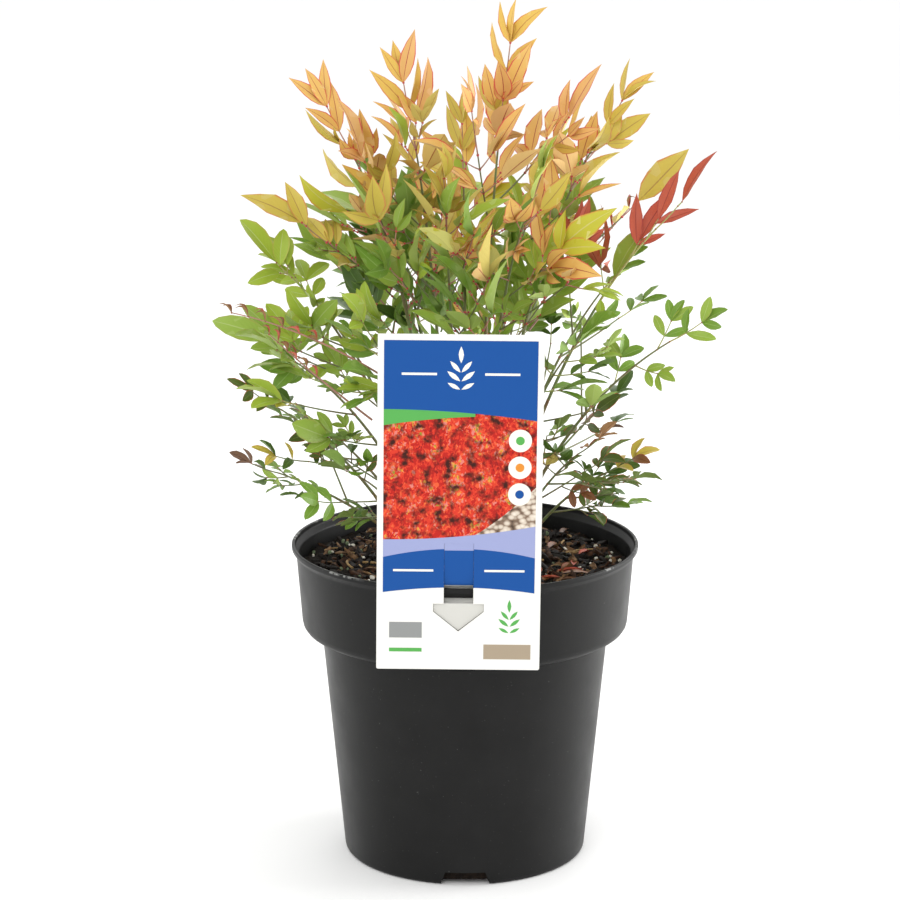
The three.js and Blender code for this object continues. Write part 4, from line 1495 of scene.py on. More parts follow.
@dataclass(frozen=True)
class Bend:
    """A quadratic curve: start (1 - t)2 + bend 2 t (1 - t) + end t2."""

    start: Array
    bend: Array
    end: Array

    def point(self, t: Array | float) -> Array:
        """Gives the place at a share of the way."""
        t = np.asarray(t, dtype=float)[..., None]
        return (1 - t) ** 2 * self.start + 2 * (1 - t) * t * self.bend + t * t * self.end

    def tangent(self, t: float) -> Array:
        """Gives the direction at a share of the way."""
        step = 1e-4
        return unit(self.point(min(t + step, 1.0)) - self.point(max(t - step, 0.0)))

    def length(self) -> float:
        """Adds up two hundred short chords."""
        spots = self.point(np.linspace(0, 1, 201))
        return float(np.linalg.norm(np.diff(spots, axis=0), axis=1).sum())

    def rest(self, share: float) -> "Bend":
        """Gives the stretch from a share of the way to the end, as a curve of its own."""
        first, second = lerp(self.start, self.bend, share), lerp(self.bend, self.end, share)
        return Bend(lerp(first, second, share), second, self.end)

    def flank(self, t: float, side: Array, roll: float) -> Array:
        """Gives the direction square to the curve nearest to side, rolled round the curve."""
        tangent = self.tangent(t)
        return turned(unit(side - side.dot(tangent) * tangent), tangent, roll)


class Draw:
    """A seeded row of numbers from 0 to 1, the same as in the solids' source."""

    def __init__(self, seed: int) -> None:
        """Passes over the first four numbers.

        Args:
            seed: any whole number.
        """
        self.state = seed % 2 ** 32
        for _ in range(4):
            self.next()

    def next(self) -> float:
        """Gives the next number."""
        self.state = (self.state * 1664525 + 1013904223) % 2 ** 32
        return self.state / 2 ** 32

    def between(self, low: float, high: float) -> float:
        """Gives the next number spread over a range."""
        return lerp(low, high, self.next())


@dataclass
class Block:
    """A convex body for the clearance test, with the directions of its faces and edges."""

    points: Array
    faces: Array
    edges: Array
    grown_from: object = None

    def __post_init__(self) -> None:
        """Works out the ball round the block."""
        self.centre = (self.points.min(axis=0) + self.points.max(axis=0)) / 2
        self.radius = np.linalg.norm(self.points - self.centre, axis=1).max()

    def apart(self, other: "Block") -> bool:
        """Says whether some direction shows a gap to the other block.

        Args:
            other: the block to stay clear of.

        Returns:
            True if the two are at least CLEAR apart.
        """
        if np.linalg.norm(self.centre - other.centre) > self.radius + other.radius + CLEAR:
            return True
        crosses = np.cross(self.edges[:, None], other.edges[None]).reshape(-1, 3)
        axes = np.concatenate([self.faces, other.faces, crosses])
        size = np.linalg.norm(axes, axis=1)
        axes, size = axes[size ** 2 > 1e-6], size[size ** 2 > 1e-6]
        mine, theirs = self.points @ axes.T, other.points @ axes.T
        gap = np.maximum(mine.min(axis=0) - theirs.max(axis=0), theirs.min(axis=0) - mine.max(axis=0))
        return bool((gap >= CLEAR * size).any())


def bar(start: Array, end: Array, radius: float) -> Block:
    """Puts a square bar round a straight stretch of limb.

    Args:
        start: where it starts.
        end: where it ends.
        radius: half its width.

    Returns:
        The bar.
    """
    along = unit(end - start)
    first = unit(np.cross(along, SIDEWAYS if abs(along[2]) > 0.9 else UP))
    second = np.cross(along, first)
    corners = [a * first * radius + b * second * radius for a, b in ((1, 1), (1, -1), (-1, 1), (-1, -1))]
    axes = np.array([along, first, second])
    return Block(np.array([spot + corner for spot in (start, end) for corner in corners]), axes, axes)


def bars(curve: Bend, start: float, end: float, radii: tuple[float, float], steps: int) -> list[Block]:
    """Puts bars round a tapering limb.

    Args:
        curve: its path.
        start: where it starts, as a share.
        end: where it ends.
        radii: its radius at both ends.
        steps: how many bars.

    Returns:
        The bars.
    """
    made = []
    for i in range(steps):
        spots = [curve.point(lerp(start, end, (i + k) / steps)) for k in (0, 1)]
        made.append(bar(*spots, lerp(*radii, i / steps)))
    return made


def crate(low: Sequence[float], high: Sequence[float]) -> Block:
    """Makes a block from its lowest and highest corner."""
    corners = np.stack(np.meshgrid(*zip(low, high), indexing="ij"), axis=-1).reshape(-1, 3)
    return Block(corners, np.eye(3), np.eye(3))


@dataclass
class Spray:
    """The place of one spray of leaflets, which the solids show as one large faceted leaf."""

    WIDEST_AT, THICKEST_AT, THICK, DISH = 0.42, 0.16, 1.3, 1.0
    root: Array
    direction: Array
    across: Array
    normal: Array
    length: float
    breadth: float
    sunk: float
    number: int

    def corner(self, x: float, y: float, z: float) -> Array:
        """Gives a corner of the faceted leaf: x along it, y across it and z through it.

        Args:
            x: share of its length.
            y: share of its half breadth.
            z: share of its half thickness.

        Returns:
            The corner.
        """
        back = abs(y) * self.WIDEST_AT + abs(z) * self.THICKEST_AT
        along = max(x, 0) * self.length + min(x, 0) * self.sunk + back * self.length
        lift = z * self.THICK / 2 + abs(y) * self.DISH
        return self.root + self.direction * along + self.across * y * self.breadth / 2 + self.normal * lift

    def block(self, root_trim: float) -> Block:
        """Makes the block round it, from a stretch off its root on.

        Args:
            root_trim: how far off the root the block starts.

        Returns:
            The block.
        """
        corners = [(1, 0, 0), (0, 1, 0), (0, -1, 0), (0, 0, 1), (0, 0, -1)]
        points = [self.corner(*corner) for corner in corners] + [self.root + self.direction * root_trim]
        faces, edges = [self.normal], []
        for side in (-1, 1):
            edge = self.corner(0, side, 0)
            to_tip, to_root = unit(self.corner(1, 0, 0) - edge), unit(edge - self.root)
            edges += [to_tip, to_root]
            faces += [np.cross(to_tip, self.normal), np.cross(to_root, self.normal)]
        return Block(np.array(points), np.array(faces), np.array(edges))


@dataclass
class Frond:
    """A rachis and the sprays on it."""

    shoot: "Shoot"
    curve: Bend
    side: Array
    roll: float
    twists: list[float]
    is_side: bool = False
    stem_start: float = 0.0
    sprays: list[Spray] = field(default_factory=list)


@dataclass
class Shoot:
    """A cane that runs on as the stem of its foliage."""

    tier: Tier
    index: int
    curve: Bend
    side: Array
    stem_start: float
    side_fronds: int
    tint: Tint
    roll: float = 0.0
    fronds: list[Frond] = field(default_factory=list)


class Growth:
    """The seeded rule by which fronds and sprays find their places, clear of one another."""

    FOOT_SPACING = 6.2
    WANDER = 5
    GOLDEN_ANGLE = 137.5
    OUTWARD, UPWARD = 0.4, 0.2
    END_FROND, LAST_FROND = 0.62, 0.72
    SHORTEST = 0.8
    SEED_SHOOT, SEED_FROND = 7919, 104729
    PLAY = {"length": 0.12, "turn": 30, "fork": 6, "roll": 50, "twist": 28}
    TURN_STEP = 47
    CANE_BARS, STEM_BARS, RACHIS_BARS = 6, 4, 2
    STEM_TIP, RACHIS = 1.15, (1.0, 0.9)
    SUNK, END_SUNK = 0.4, 1.6
    PAIR_FIRST, PAIR_SPACING, PAIR_ANGLE, PAIR_OPENING = 0.85, 0.27, 44, 9
    PAIR_SIZE, PAIR_GROWTH = 0.84, 0.08
    PAIRS_END, PAIRS_SIDE = 3, 2
    TRIES, LEAF_TRIES, SHRINK, LIFT = 6, 5, 0.1, 9
    ROOM, STAND_OFF = 20, 5
    FLOOR_RIM, FLOOR_MIX, FLOOR_RADIUS = 200, 178, 70

    def __init__(self, mix_top: float, label: Label) -> None:
        """Places the shoots and marks what is taken from the start.

        Args:
            mix_top: height of the mix.
            label: what the shoots stay clear of.
        """
        self.mix_top = mix_top
        self.feet: list[Array] = []
        self.shoots = [self.make_shoot(i, *row) for i, row in enumerate(SHOOTS)]
        ranges = [np.linspace(shoot.tier.bare, 1, 9) for shoot in self.shoots]
        self.samples = np.array([shoot.curve.point(t) for shoot, t in zip(self.shoots, ranges)])
        half, strap = label.width / 2, label.strap_width / 2
        inner = label.pot.collar_top - label.pot.wall
        self.taken = [
            crate((label.centre - half - 3, label.face - 80, 0),
                  (label.centre + half + 3, label.face + label.thick + 1, label.top + 3)),
            crate((label.centre - strap - 1, label.face, label.bottom),
                  (label.centre + strap + 1, -inner + 4, label.strap_top)),
        ]
        for shoot in self.shoots:
            tier = shoot.tier
            cane = bars(shoot.curve, 0, tier.bare, (tier.cane_radius, tier.tip_radius), self.CANE_BARS)
            stem = bars(shoot.curve, shoot.stem_start, 1, (tier.tip_radius, self.STEM_TIP), self.STEM_BARS)
            self.take(cane, None)
            self.take(stem, shoot)

    def take(self, blocks: list[Block], grown_from: object) -> None:
        """Marks blocks as part of a shoot or frond.

        Args:
            blocks: the blocks.
            grown_from: the shoot or frond, or nothing.
        """
        for block in blocks:
            block.grown_from = grown_from
            self.taken.append(block)

    def place_foot(self, azimuth: float, radius: float) -> Array:
        """Stands a foot as near the middle as its tier lets it, clear of the feet before it.

        Args:
            azimuth: the side it stands on, in degrees.
            radius: where to try first.

        Returns:
            The foot.
        """
        foot = polar(azimuth, radius, self.mix_top + GAP)
        if any(np.linalg.norm(other - foot) < self.FOOT_SPACING for other in self.feet):
            return self.place_foot(azimuth, radius + 1)
        self.feet.append(foot)
        return foot

    def make_shoot(
        self, index: int, tier: Tier, azimuth: float, reach: float, height: float, side_fronds: int,
        tint: Tint,
    ) -> Shoot:
        """Lays out one shoot.

        Args:
            index: its number, which seeds its draws.
            tier: its storey.
            azimuth: the side it grows to, in degrees.
            reach: how far its last leaf tip lies from the pot's axis.
            height: and how high.
            side_fronds: how many fronds stand below the end one.
            tint: its main tint.

        Returns:
            The shoot, still without fronds.
        """
        draw = Draw(index * self.SEED_SHOOT)
        foot = self.place_foot(azimuth, tier.foot)
        side = polar(azimuth + 90, 1.0, 0.0)
        bend = polar(azimuth, lerp(tier.foot, reach, tier.out), lerp(foot[2], height, tier.up))
        bend = bend + side * draw.between(-self.WANDER, self.WANDER)
        tip = polar(azimuth, reach, height)
        curve = Bend(foot, bend, tip + unit(bend - tip) * tier.leaf)
        return Shoot(tier, index, curve, side, tier.bare + GAP / curve.length(), side_fronds, tint)

    def in_own_space(self, shoot: Shoot, point: Array) -> bool:
        """Says whether a point is nearer to its own stem than to another's, but for a little room.

        Args:
            shoot: its own shoot.
            point: the point.

        Returns:
            True if it is.
        """
        away = np.linalg.norm(self.samples - point, axis=2).min(axis=1)
        others = np.delete(away, shoot.index)
        return bool((others > away[shoot.index] - self.ROOM).all())

    def above_floor(self, point: Array) -> bool:
        """Says whether a point is above the rim, or inside it above the mix."""
        outside = math.hypot(point[0], point[1]) > self.FLOOR_RADIUS
        return point[2] > (self.FLOOR_RIM if outside else self.FLOOR_MIX)

    def is_free(self, whole: list[Block], trimmed: list[Block], grown_from: object) -> bool:
        """Says whether blocks stay clear of all that is taken.

        Args:
            whole: the blocks.
            trimmed: the same without their first stretch, for what they grow from.
            grown_from: the shoot or frond that they grow from.

        Returns:
            True if nothing is in the way.
        """
        for other in self.taken:
            own = other.grown_from is not None and other.grown_from is grown_from
            if not all(block.apart(other) for block in (trimmed if own else whole)):
                return False
        return True

    def add_frond(self, shoot: Shoot, curve: Bend, side: Array, draw: Draw, pairs: int) -> Frond:
        """Draws a frond's roll and the twists of its sprays.

        Args:
            shoot: what it grows on.
            curve: its rachis.
            side: a direction across it.
            draw: the frond's row of numbers.
            pairs: how many pairs of sprays it may have.

        Returns:
            The frond, still without sprays.
        """
        roll = math.radians(draw.between(-self.PLAY["roll"], self.PLAY["roll"]))
        twists = [draw.between(-self.PLAY["twist"], self.PLAY["twist"]) for _ in range(2 * pairs + 1)]
        frond = Frond(shoot, curve, side, roll, twists)
        shoot.fronds.append(frond)
        return frond

    def make_end_frond(self, shoot: Shoot) -> None:
        """Makes the frond that ends a shoot, whose rachis is the stem itself.

        Args:
            shoot: the shoot.
        """
        draw = Draw(shoot.index * self.SEED_SHOOT + self.SEED_FROND)
        frond = self.add_frond(shoot, shoot.curve.rest(self.END_FROND), shoot.side, draw, self.PAIRS_END)
        shoot.roll = frond.roll

    def make_side_frond(self, shoot: Shoot, order: int) -> None:
        """Tries places for one side frond, each turned further round the stem and shorter.

        Args:
            shoot: what it grows from.
            order: its number from the bottom.
        """
        tier, curve = shoot.tier, shoot.curve
        draw = Draw(shoot.index * self.SEED_SHOOT + (order + 2) * self.SEED_FROND)
        share = order / shoot.side_fronds
        t = lerp(shoot.stem_start, self.LAST_FROND, (order + 0.5) / shoot.side_fronds)
        root, tangent = curve.point(t), curve.tangent(t)
        outward = unit(root * [1, 1, 0])
        across = unit(np.cross(tangent, outward))
        upright = np.cross(across, tangent)
        play = self.PLAY
        first_turn = draw.between(-play["turn"], play["turn"]) + self.GOLDEN_ANGLE * order
        stretch = draw.between(1 - play["length"], 1 + play["length"])
        length = tier.frond * lerp(1, self.SHORTEST, share) * stretch
        fork = math.radians(lerp(*tier.fork, share) + draw.between(-play["fork"], play["fork"]))
        for attempt in range(self.TRIES):
            turn = math.radians(first_turn + self.TURN_STEP * attempt)
            slant = across * math.sin(turn) - upright * math.cos(turn)
            heading = tangent * math.cos(fork) + slant * math.sin(fork)
            direction = unit(heading + outward * self.OUTWARD + UP * self.UPWARD)
            reach = length * (1 - self.SHRINK * attempt)
            end = root + direction * reach + UP * tier.rise * reach
            rachis = Bend(root, root + direction * reach / 2, end)
            whole = bars(rachis, 0, 1, self.RACHIS, self.RACHIS_BARS)
            trimmed = bars(rachis, self.STAND_OFF / reach, 1, self.RACHIS, self.RACHIS_BARS)
            fits = self.in_own_space(shoot, end) and self.above_floor(end)
            if fits and self.is_free(whole, trimmed, shoot):
                side = unit(np.cross(UP, direction))
                frond = self.add_frond(shoot, rachis, side, draw, self.PAIRS_SIDE)
                frond.is_side = True
                self.take(whole, frond)
                return

    def make_spray(self, frond: Frond, number: int) -> None:
        """Tries places for one spray, each turned further out of the frond's face and smaller.

        Args:
            frond: what it grows from.
            number: 0 for the end one, and then in pairs from the end back.
        """
        shoot, curve = frond.shoot, frond.curve
        rank = math.ceil(number / 2) - 1
        side = 0 if number == 0 else 2 * (number % 2) - 1
        at = 1 if number == 0 else self.PAIR_FIRST - self.PAIR_SPACING * rank
        angle = math.radians(side * (self.PAIR_ANGLE + self.PAIR_OPENING * rank))
        size = 1 if number == 0 else self.PAIR_SIZE + self.PAIR_GROWTH * rank
        tangent, flank = curve.tangent(at), curve.flank(at, frond.side, frond.roll)
        face, root = np.cross(tangent, flank), curve.point(at)
        sunk = self.END_SUNK if number == 0 else self.SUNK
        grown_from = frond if frond.is_side else shoot
        for attempt in range(self.LEAF_TRIES):
            lift = math.radians(self.LIFT * attempt * (1 if attempt % 2 == 0 else -1))
            flat = tangent * math.cos(angle) + flank * math.sin(angle)
            direction = flat * math.cos(lift) + face * math.sin(lift)
            across = turned(unit(np.cross(face, direction)), direction, math.radians(frond.twists[number]))
            share = size * (1 - self.SHRINK * attempt)
            spray = Spray(
                root, direction, across, np.cross(direction, across),
                shoot.tier.leaf * share, shoot.tier.breadth * share, sunk, number,
            )
            whole, trimmed = spray.block(-sunk), spray.block(self.STAND_OFF)
            fits = all(self.above_floor(point) for point in whole.points)
            if fits and self.in_own_space(shoot, spray.corner(1, 0, 0)):
                if self.is_free([whole], [trimmed], grown_from):
                    self.take([whole], grown_from)
                    frond.sprays.append(spray)
                    return

    def grow(self) -> list[Shoot]:
        """Grows end fronds, then side fronds in turns, and then sprays, the end ones first.

        Returns:
            The shoots with all that grows on them.
        """
        for shoot in self.shoots:
            self.make_end_frond(shoot)
        for step in range(1, 1 + max(shoot.side_fronds for shoot in self.shoots)):
            for shoot in self.shoots:
                if step <= shoot.side_fronds:
                    self.make_side_frond(shoot, shoot.side_fronds - step)
        fronds = [frond for shoot in self.shoots for frond in shoot.fronds]
        for number in range(max(len(frond.twists) for frond in fronds)):
            for frond in fronds:
                if number < len(frond.twists):
                    self.make_spray(frond, number)
        log.info("growth: %d fronds, %d sprays", len(fronds), sum(len(frond.sprays) for frond in fronds))
        return self.shoots


# ---------- leaves ----------


@dataclass(frozen=True)
class BladeShape:
    """The outline and lie of a leaflet.

    Attributes:
        root_power: how slender it is near its root.
        tip_power: how drawn out its tip is.
        curl: how late along the blade the tip bends down.
        wave: swing of the margin as a share of the half breadth.
    """

    root_power: float
    tip_power: float
    curl: float
    wave: float


YOUNG_BLADE = BladeShape(0.92, 1.24, 2.8, 0.08)
GREEN_BLADE = BladeShape(0.9, 0.76, 2.4, 0.06)
OLD_BLADE = BladeShape(0.86, 0.74, 2.0, 0.07)

STATIONS = np.array([0.05, 0.18, 0.35, 0.54, 0.75, 0.92])
# Places across the blade, over the top from one edge to the other and back underneath.
ACROSS = np.array([1.0, 0.86, 0.05, -0.05, -0.86, -1.0, -0.05, 0.05])
BELOW = np.array([0, 0, 0, 0, 0, 0, 1, 1])
# The underside panels take the underside colours, lightened as a painted glow of light through the leaf.
PANELS = np.array([MARGIN, UPPER, RIB, UPPER, MARGIN, UNDERSIDE_AND_GLOW, RIB, UNDERSIDE_AND_GLOW])
BLADE_THICK = 0.45


class Rows:
    """Arrays with one row for each of many things."""

    def only(self, chosen: Array) -> Self:
        """Gives some of the rows."""
        return type(self)(**{name: value[chosen] for name, value in vars(self).items()})

    @classmethod
    def join(cls, parts: Sequence[Self]) -> Self:
        """Puts the rows of several into one."""
        names = vars(parts[0])
        return cls(**{name: np.concatenate([getattr(part, name) for part in parts]) for name in names})


@dataclass
class Blades(Rows):
    """Leaflets: where they start, how they lie and how large they are."""

    root: Array
    direction: Array
    across: Array
    length: Array
    breadth: Array
    arch: Array
    fold: Array
    sway: Array
    tint: Array

    def surface(self, shape: BladeShape) -> Surface:
        """Bends a thin closed blade for each leaflet.

        With s along it and v across it, the half breadth is s to the root power times (1 - s) to
        the tip power. The midrib rises by arch (s - s to the curl) and sways by s squared. Both
        halves fold up from it, and the margin waves.

        Args:
            shape: the outline and lie that all share.

        Returns:
            All the leaflets as one surface.
        """
        s, v = STATIONS[:, None], ACROSS[None]
        peak = shape.root_power / (shape.root_power + shape.tip_power)
        widest = peak ** shape.root_power * (1 - peak) ** shape.tip_power
        half = s ** shape.root_power * (1 - s) ** shape.tip_power / widest
        length, breadth, arch, fold, sway = (
            value[:, None, None] for value in (self.length, self.breadth, self.arch, self.fold, self.sway)
        )
        wide = breadth / 2 * half
        wave = shape.wave * wide * np.sin(TURN * (2.5 * s + 1.7 * length)) * v
        along = length * (s + 0 * v)
        across = v * wide * np.cos(fold) + sway * length * s ** 2
        lift = np.abs(v) * wide * np.sin(fold) + arch * length * (s - s ** shape.curl) + wave
        lift = lift - BLADE_THICK * BELOW * np.sqrt(half)
        normal = np.cross(self.direction, self.across)

        def placed(x: Array, y: Array, z: Array) -> Array:
            """Turns places in the blade's own directions into places in the part's frame.

            Args:
                x: places along.
                y: places across.
                z: heights.

            Returns:
                The places.
            """
            extra = (slice(None),) + (None,) * (x.ndim - 1)
            return (
                self.root[extra] + x[..., None] * self.direction[extra]
                + y[..., None] * self.across[extra] + z[..., None] * normal[extra]
            )

        ends = np.zeros((len(self.length), 2))
        tip_x, tip_y = ends.copy(), ends.copy()
        tip_x[:, 1], tip_y[:, 1] = self.length, self.sway * self.length
        uv = np.stack(np.broadcast_arrays(s, (v + 1) / 2), axis=-1)
        slots = self.tint[:, None, None] * PARTS + PANELS
        return skin(placed(along, across, lift), placed(tip_x, tip_y, ends), slots, uv)


@dataclass
class Sprays(Rows):
    """Sprays, or the stalks of leaflets: where they start and point, and what they bear.

    Attributes:
        root: where each starts.
        ahead: where it points.
        normal: the direction of its upper side.
        length: its length.
        tints: its two tints, of which the second is the rarer.
    """

    root: Array
    ahead: Array
    normal: Array
    length: Array
    tints: Array


@dataclass(frozen=True)
class SprayPlan:
    """How a spray of one tier divides. Lengths are shares of the spray's own.

    Attributes:
        blade: the outline of its leaflets.
        slim: breadth of a leaflet as a share of its length, on a trio and on a fine spray.
        node: least and greatest place where the end trio stands.
        pair: length of a side leaflet of a trio as a share of the middle one's.
        paired: chance of each side leaflet of a trio.
        spread: angle of the side leaflets to the middle one, in degrees.
        fork: where the two side stalks leave.
        fork_turn: their angle to the spray.
        stalk: their length.
        side: length of the leaflet that ends them.
        forked: chance of each side stalk.
        fine: share of the sprays that bear small leaflets in pairs.
        small: length of those leaflets.
        opening: angle of those leaflets to the stalk, in degrees.
        kept: share of the sprays that are left at the outside of the crown, where it is open.
        to_light: how far the spray rolls towards the light.
        arch: least and greatest rise of a blade.
        fold: least and greatest slope of its halves, in radians.
        size: length of a spray as a share of the rule's.
        low_size: length of the lowest sprays as a share of that.
        stem: finish of the younger stems.
        joint: finish of the joints.
        knobs: radii of the joints at leaflets, at sprays and at fronds.
    """

    blade: BladeShape
    slim: tuple[float, float]
    node: tuple[float, float]
    pair: float
    paired: float
    spread: float
    fork: float
    fork_turn: float
    stalk: float
    side: float
    forked: float
    fine: float
    small: float
    opening: float
    kept: float
    to_light: float
    arch: tuple[float, float]
    fold: tuple[float, float]
    size: float = 1.0
    low_size: float = 1.0
    stem: int = OLD_STEM
    joint: int = BROWN_JOINT
    knobs: tuple[float, float, float] = (0.5, 0.55, 0.9)


PLANS = {
    TALL: SprayPlan(
        YOUNG_BLADE, slim=(0.38, 0.31), node=(0.12, 0.3), pair=0.74, paired=0.62, spread=30, fork=0.06,
        fork_turn=36, stalk=0.1, side=0.5, forked=0.12, fine=0.1, small=0.54, opening=24, kept=0.74,
        to_light=0.5, arch=(0.04, 0.26), fold=(0.15, 0.6), size=1.08,
        stem=YOUNG_STEM, joint=RED_JOINT, knobs=(0.74, 0.84, 1.15),
    ),
    MIDDLE: SprayPlan(
        GREEN_BLADE, slim=(0.43, 0.44), node=(0.16, 0.32), pair=0.78, paired=0.92, spread=40, fork=0.08,
        fork_turn=50, stalk=0.1, side=0.46, forked=0.42, fine=0.3, small=0.44, opening=46, kept=0.36,
        to_light=0.4, arch=(0.06, 0.3), fold=(0.1, 0.5), low_size=0.66,
        stem=GREEN_STEM, knobs=(0.55, 0.62, 1.0),
    ),
    LOW: SprayPlan(
        OLD_BLADE, slim=(0.42, 0.44), node=(0.28, 0.44), pair=0.8, paired=0.9, spread=46, fork=0.12,
        fork_turn=50, stalk=0.14, side=0.4, forked=0.4, fine=0.6, small=0.42, opening=50, kept=0.2,
        to_light=0.3, arch=(0.2, 0.55), fold=(0.1, 0.5),
    ),
}
# Sprays set on the tall shoots besides: on how many shoots, the place along the end frond or the
# shoot, and the least and greatest angle to it in degrees.
TOP_FILLS = ((9, 0.92, -34, -10), (3, 0.68, 10, 34))
LOWER_FILLS = ((9, 0.47, 30, 62), (9, 0.515, -62, -30), (9, 0.56, 30, 62), (9, 0.605, -62, -30))
# Of the sprays on the coral shoot: their size, the share that is left, the chance of side leaflets, how
# far they turn upright and their faces to the light, and the breadth of coral leaflets against others.
AIRY_SIZE, AIRY_KEPT, AIRY_PAIRED, AIRY_UPRIGHT, AIRY_LIT, CORAL_SLIM = 1.25, 0.6, 0.6, 0.9, 0.8, 0.7
SMALL_BELOW, LARGE_ABOVE = 230.0, 305.0  # heights over which sprays grow to their full size
FINE_SHOOTS = {11: 0.85, 18: 0.8, 19: 0.85}  # shoots that bear only fine sprays, with the size of those
FULL_SHOOTS = {19}  # shoots that keep all their sprays
CORAL = TINTS.index(Tint.CORAL)
FINE_STALK = 0.56  # share of a fine spray's length
NECK = 0.06  # stalk of a spray's end leaflet beyond the pair, as a share of the spray
LIGHT = unit(np.array([-0.15, -0.8, 0.6]))


@dataclass
class Foliage:
    """Stems, fronds, stalks, joints and leaflets of one tier."""

    tier: Tier
    shoots: list[Shoot]
    seed: int
    # This much further down, tints step once more to older ones, darkened again as painted shade.
    ageing: float = 42.0

    INNER, OUTER = 35, 100  # radii between which fewer and fewer sprays are kept
    NEAR, AGE_PLAY, BARK_ABOVE = 60, 25, 15  # millimetres by which the leaves' age with its painted shade, and the bark's age, are dealt
    SPRAY_ROLL, OUTWARD, UPWARD = 0.6, 0.5, 0.3  # roll in radians, and how far the light is taken to turn
    LEAN, ROLL, BROAD, SWAY, RARE = 16, 32, (0.86, 1.12), 0.2, 0.25  # of a leaflet
    SAG, STALK_RINGS, STALK_RADII = 0.12, 5, (0.45, 0.32)
    STEM_MESH, RACHIS_MESH = (24, 8), (10, 6)  # rings, and points in a ring
    STEM_TIP, RACHIS_RADII, FLANK = 0.45, (0.6, 0.4), (0.1, 0.2, 1.0)
    TOP_LENGTH, LOWER_LENGTH, LOWER_FORKED = (0.78, 1.0), (0.62, 0.86), 0.6
    FILL_PAIRED, FILL_ROLL = 0.6, 1.2

    def __post_init__(self) -> None:
        """Starts the draws, gathers the sprays and divides them."""
        self.rng = np.random.default_rng(self.seed)
        self.plan = PLANS[self.tier]
        self.stalks: list[Array] = []
        self.leaflets: list[Blades] = []
        self.fronds = [frond for shoot in self.shoots for frond in shoot.fronds]
        kept = [(one, frond.shoot) for frond in self.fronds for one in frond.sprays if self.keeps(one, frond)]
        self.sprays = self.gathered(*zip(*kept))
        self.divide(*zip(*kept))
        if self.tier is TALL:
            ends = [frond for frond in self.fronds if not frond.is_side]
            for count, t, *turn in TOP_FILLS:
                self.fill(ends[:count], t, turn, self.TOP_LENGTH, 0.0)
            for count, t, *turn in LOWER_FILLS:
                self.fill(self.shoots[:count], t, turn, self.LOWER_LENGTH, self.LOWER_FORKED)

    def gathered(self, places: Sequence[Spray], owners: Sequence[Shoot]) -> Sprays:
        """Works out how the sprays that are left lie, their tints and their lengths.

        Args:
            places: where the rule sets them.
            owners: their shoots.

        Returns:
            The sprays.
        """
        root, ahead, across = (
            np.array([getattr(one, name) for one in places]) for name in ("root", "direction", "across")
        )
        airy = np.array([owner.tint is Tint.CORAL for owner in owners])
        upright = airy & np.array([one.number > 0 for one in places])
        ahead = unit(ahead + AIRY_UPRIGHT * upright[:, None] * UP)
        normal = self.lit(root, ahead, across, np.where(airy, AIRY_LIT, self.plan.to_light))
        tints = np.array([self.deal(*pair) for pair in zip(owners, root)])
        scales = np.array([FINE_SHOOTS.get(owner.index, 1.0) for owner in owners])
        scales = np.where(tints[:, 0] == CORAL, AIRY_SIZE, scales) * self.plan.size
        above = np.clip((root[:, 2] - SMALL_BELOW) / (LARGE_ABOVE - SMALL_BELOW), 0, 1)
        length = np.array([one.length for one in places]) * scales * lerp(self.plan.low_size, 1.0, above)
        return Sprays(root, ahead, normal, length, tints)

    def keeps(self, spray: Spray, frond: Frond) -> bool:
        """Says whether a spray is left: always at a shoot's tip, and less often the further out.

        Args:
            spray: the spray.
            frond: what it grows on.

        Returns:
            True if it stays.
        """
        out = np.clip((math.hypot(*spray.root[:2]) - self.INNER) / (self.OUTER - self.INNER), 0, 1)
        tip = spray.number == 0 and not frond.is_side or frond.shoot.index in FULL_SHOOTS
        share = AIRY_KEPT if frond.shoot.tint is Tint.CORAL else lerp(1.0, self.plan.kept, out)
        return tip or self.rng.uniform(0, 1) < share

    def lit(self, root: Array, direction: Array, across: Array, share: Array | float) -> Array:
        """Rolls sprays at random, and part of the way that would bring their upper sides to the light.

        Args:
            root: where they start.
            direction: where they point.
            across: a direction across each.
            share: how much of that way.

        Returns:
            The normals of their upper sides.
        """
        normal = unit(np.cross(direction, across))
        light = unit(LIGHT + self.OUTWARD * unit(root * [1, 1, 0]) + self.UPWARD * UP)
        flat = light - (light * direction).sum(axis=1, keepdims=True) * direction
        turn = np.arctan2((np.cross(normal, flat) * direction).sum(axis=1), (normal * flat).sum(axis=1))
        turn = share * turn + self.draw(turn, -self.SPRAY_ROLL, self.SPRAY_ROLL)
        normal = turned(normal, direction, turn)
        away = (normal * light).sum(axis=1) < 0
        return np.where(away[:, None], -normal, normal)

    def deal(self, shoot: Shoot, root: Array) -> tuple[int, int]:
        """Deals two tints to a spray, of older ones darkened as painted shade where it is low or far out.

        Args:
            shoot: its shoot, whose main tint or that tint's companions it takes.
            root: where it starts.

        Returns:
            The numbers of the two tints.
        """
        out = self.tier.older_out * max(math.hypot(*root[:2]) - self.NEAR, 0)
        play = self.rng.uniform(-self.AGE_PLAY, self.AGE_PLAY)
        tint, below = shoot.tint, self.tier.older_below + out + play - root[2]
        # Each step down gives the older tint, greener and darker as painted shade.
        for step in (0, self.ageing):
            tint = AGED_AND_SHADED[tint] if below > step else tint
        tints, shares = zip(*COMPANIONS[tint])
        first, second = self.rng.choice(len(tints), 2, p=shares)
        return TINTS.index(tints[first]), TINTS.index(tints[second])

    def draw(self, like: Array, low: float, high: float) -> Array:
        """Draws a number for each of some sprays."""
        return self.rng.uniform(low, high, len(like))

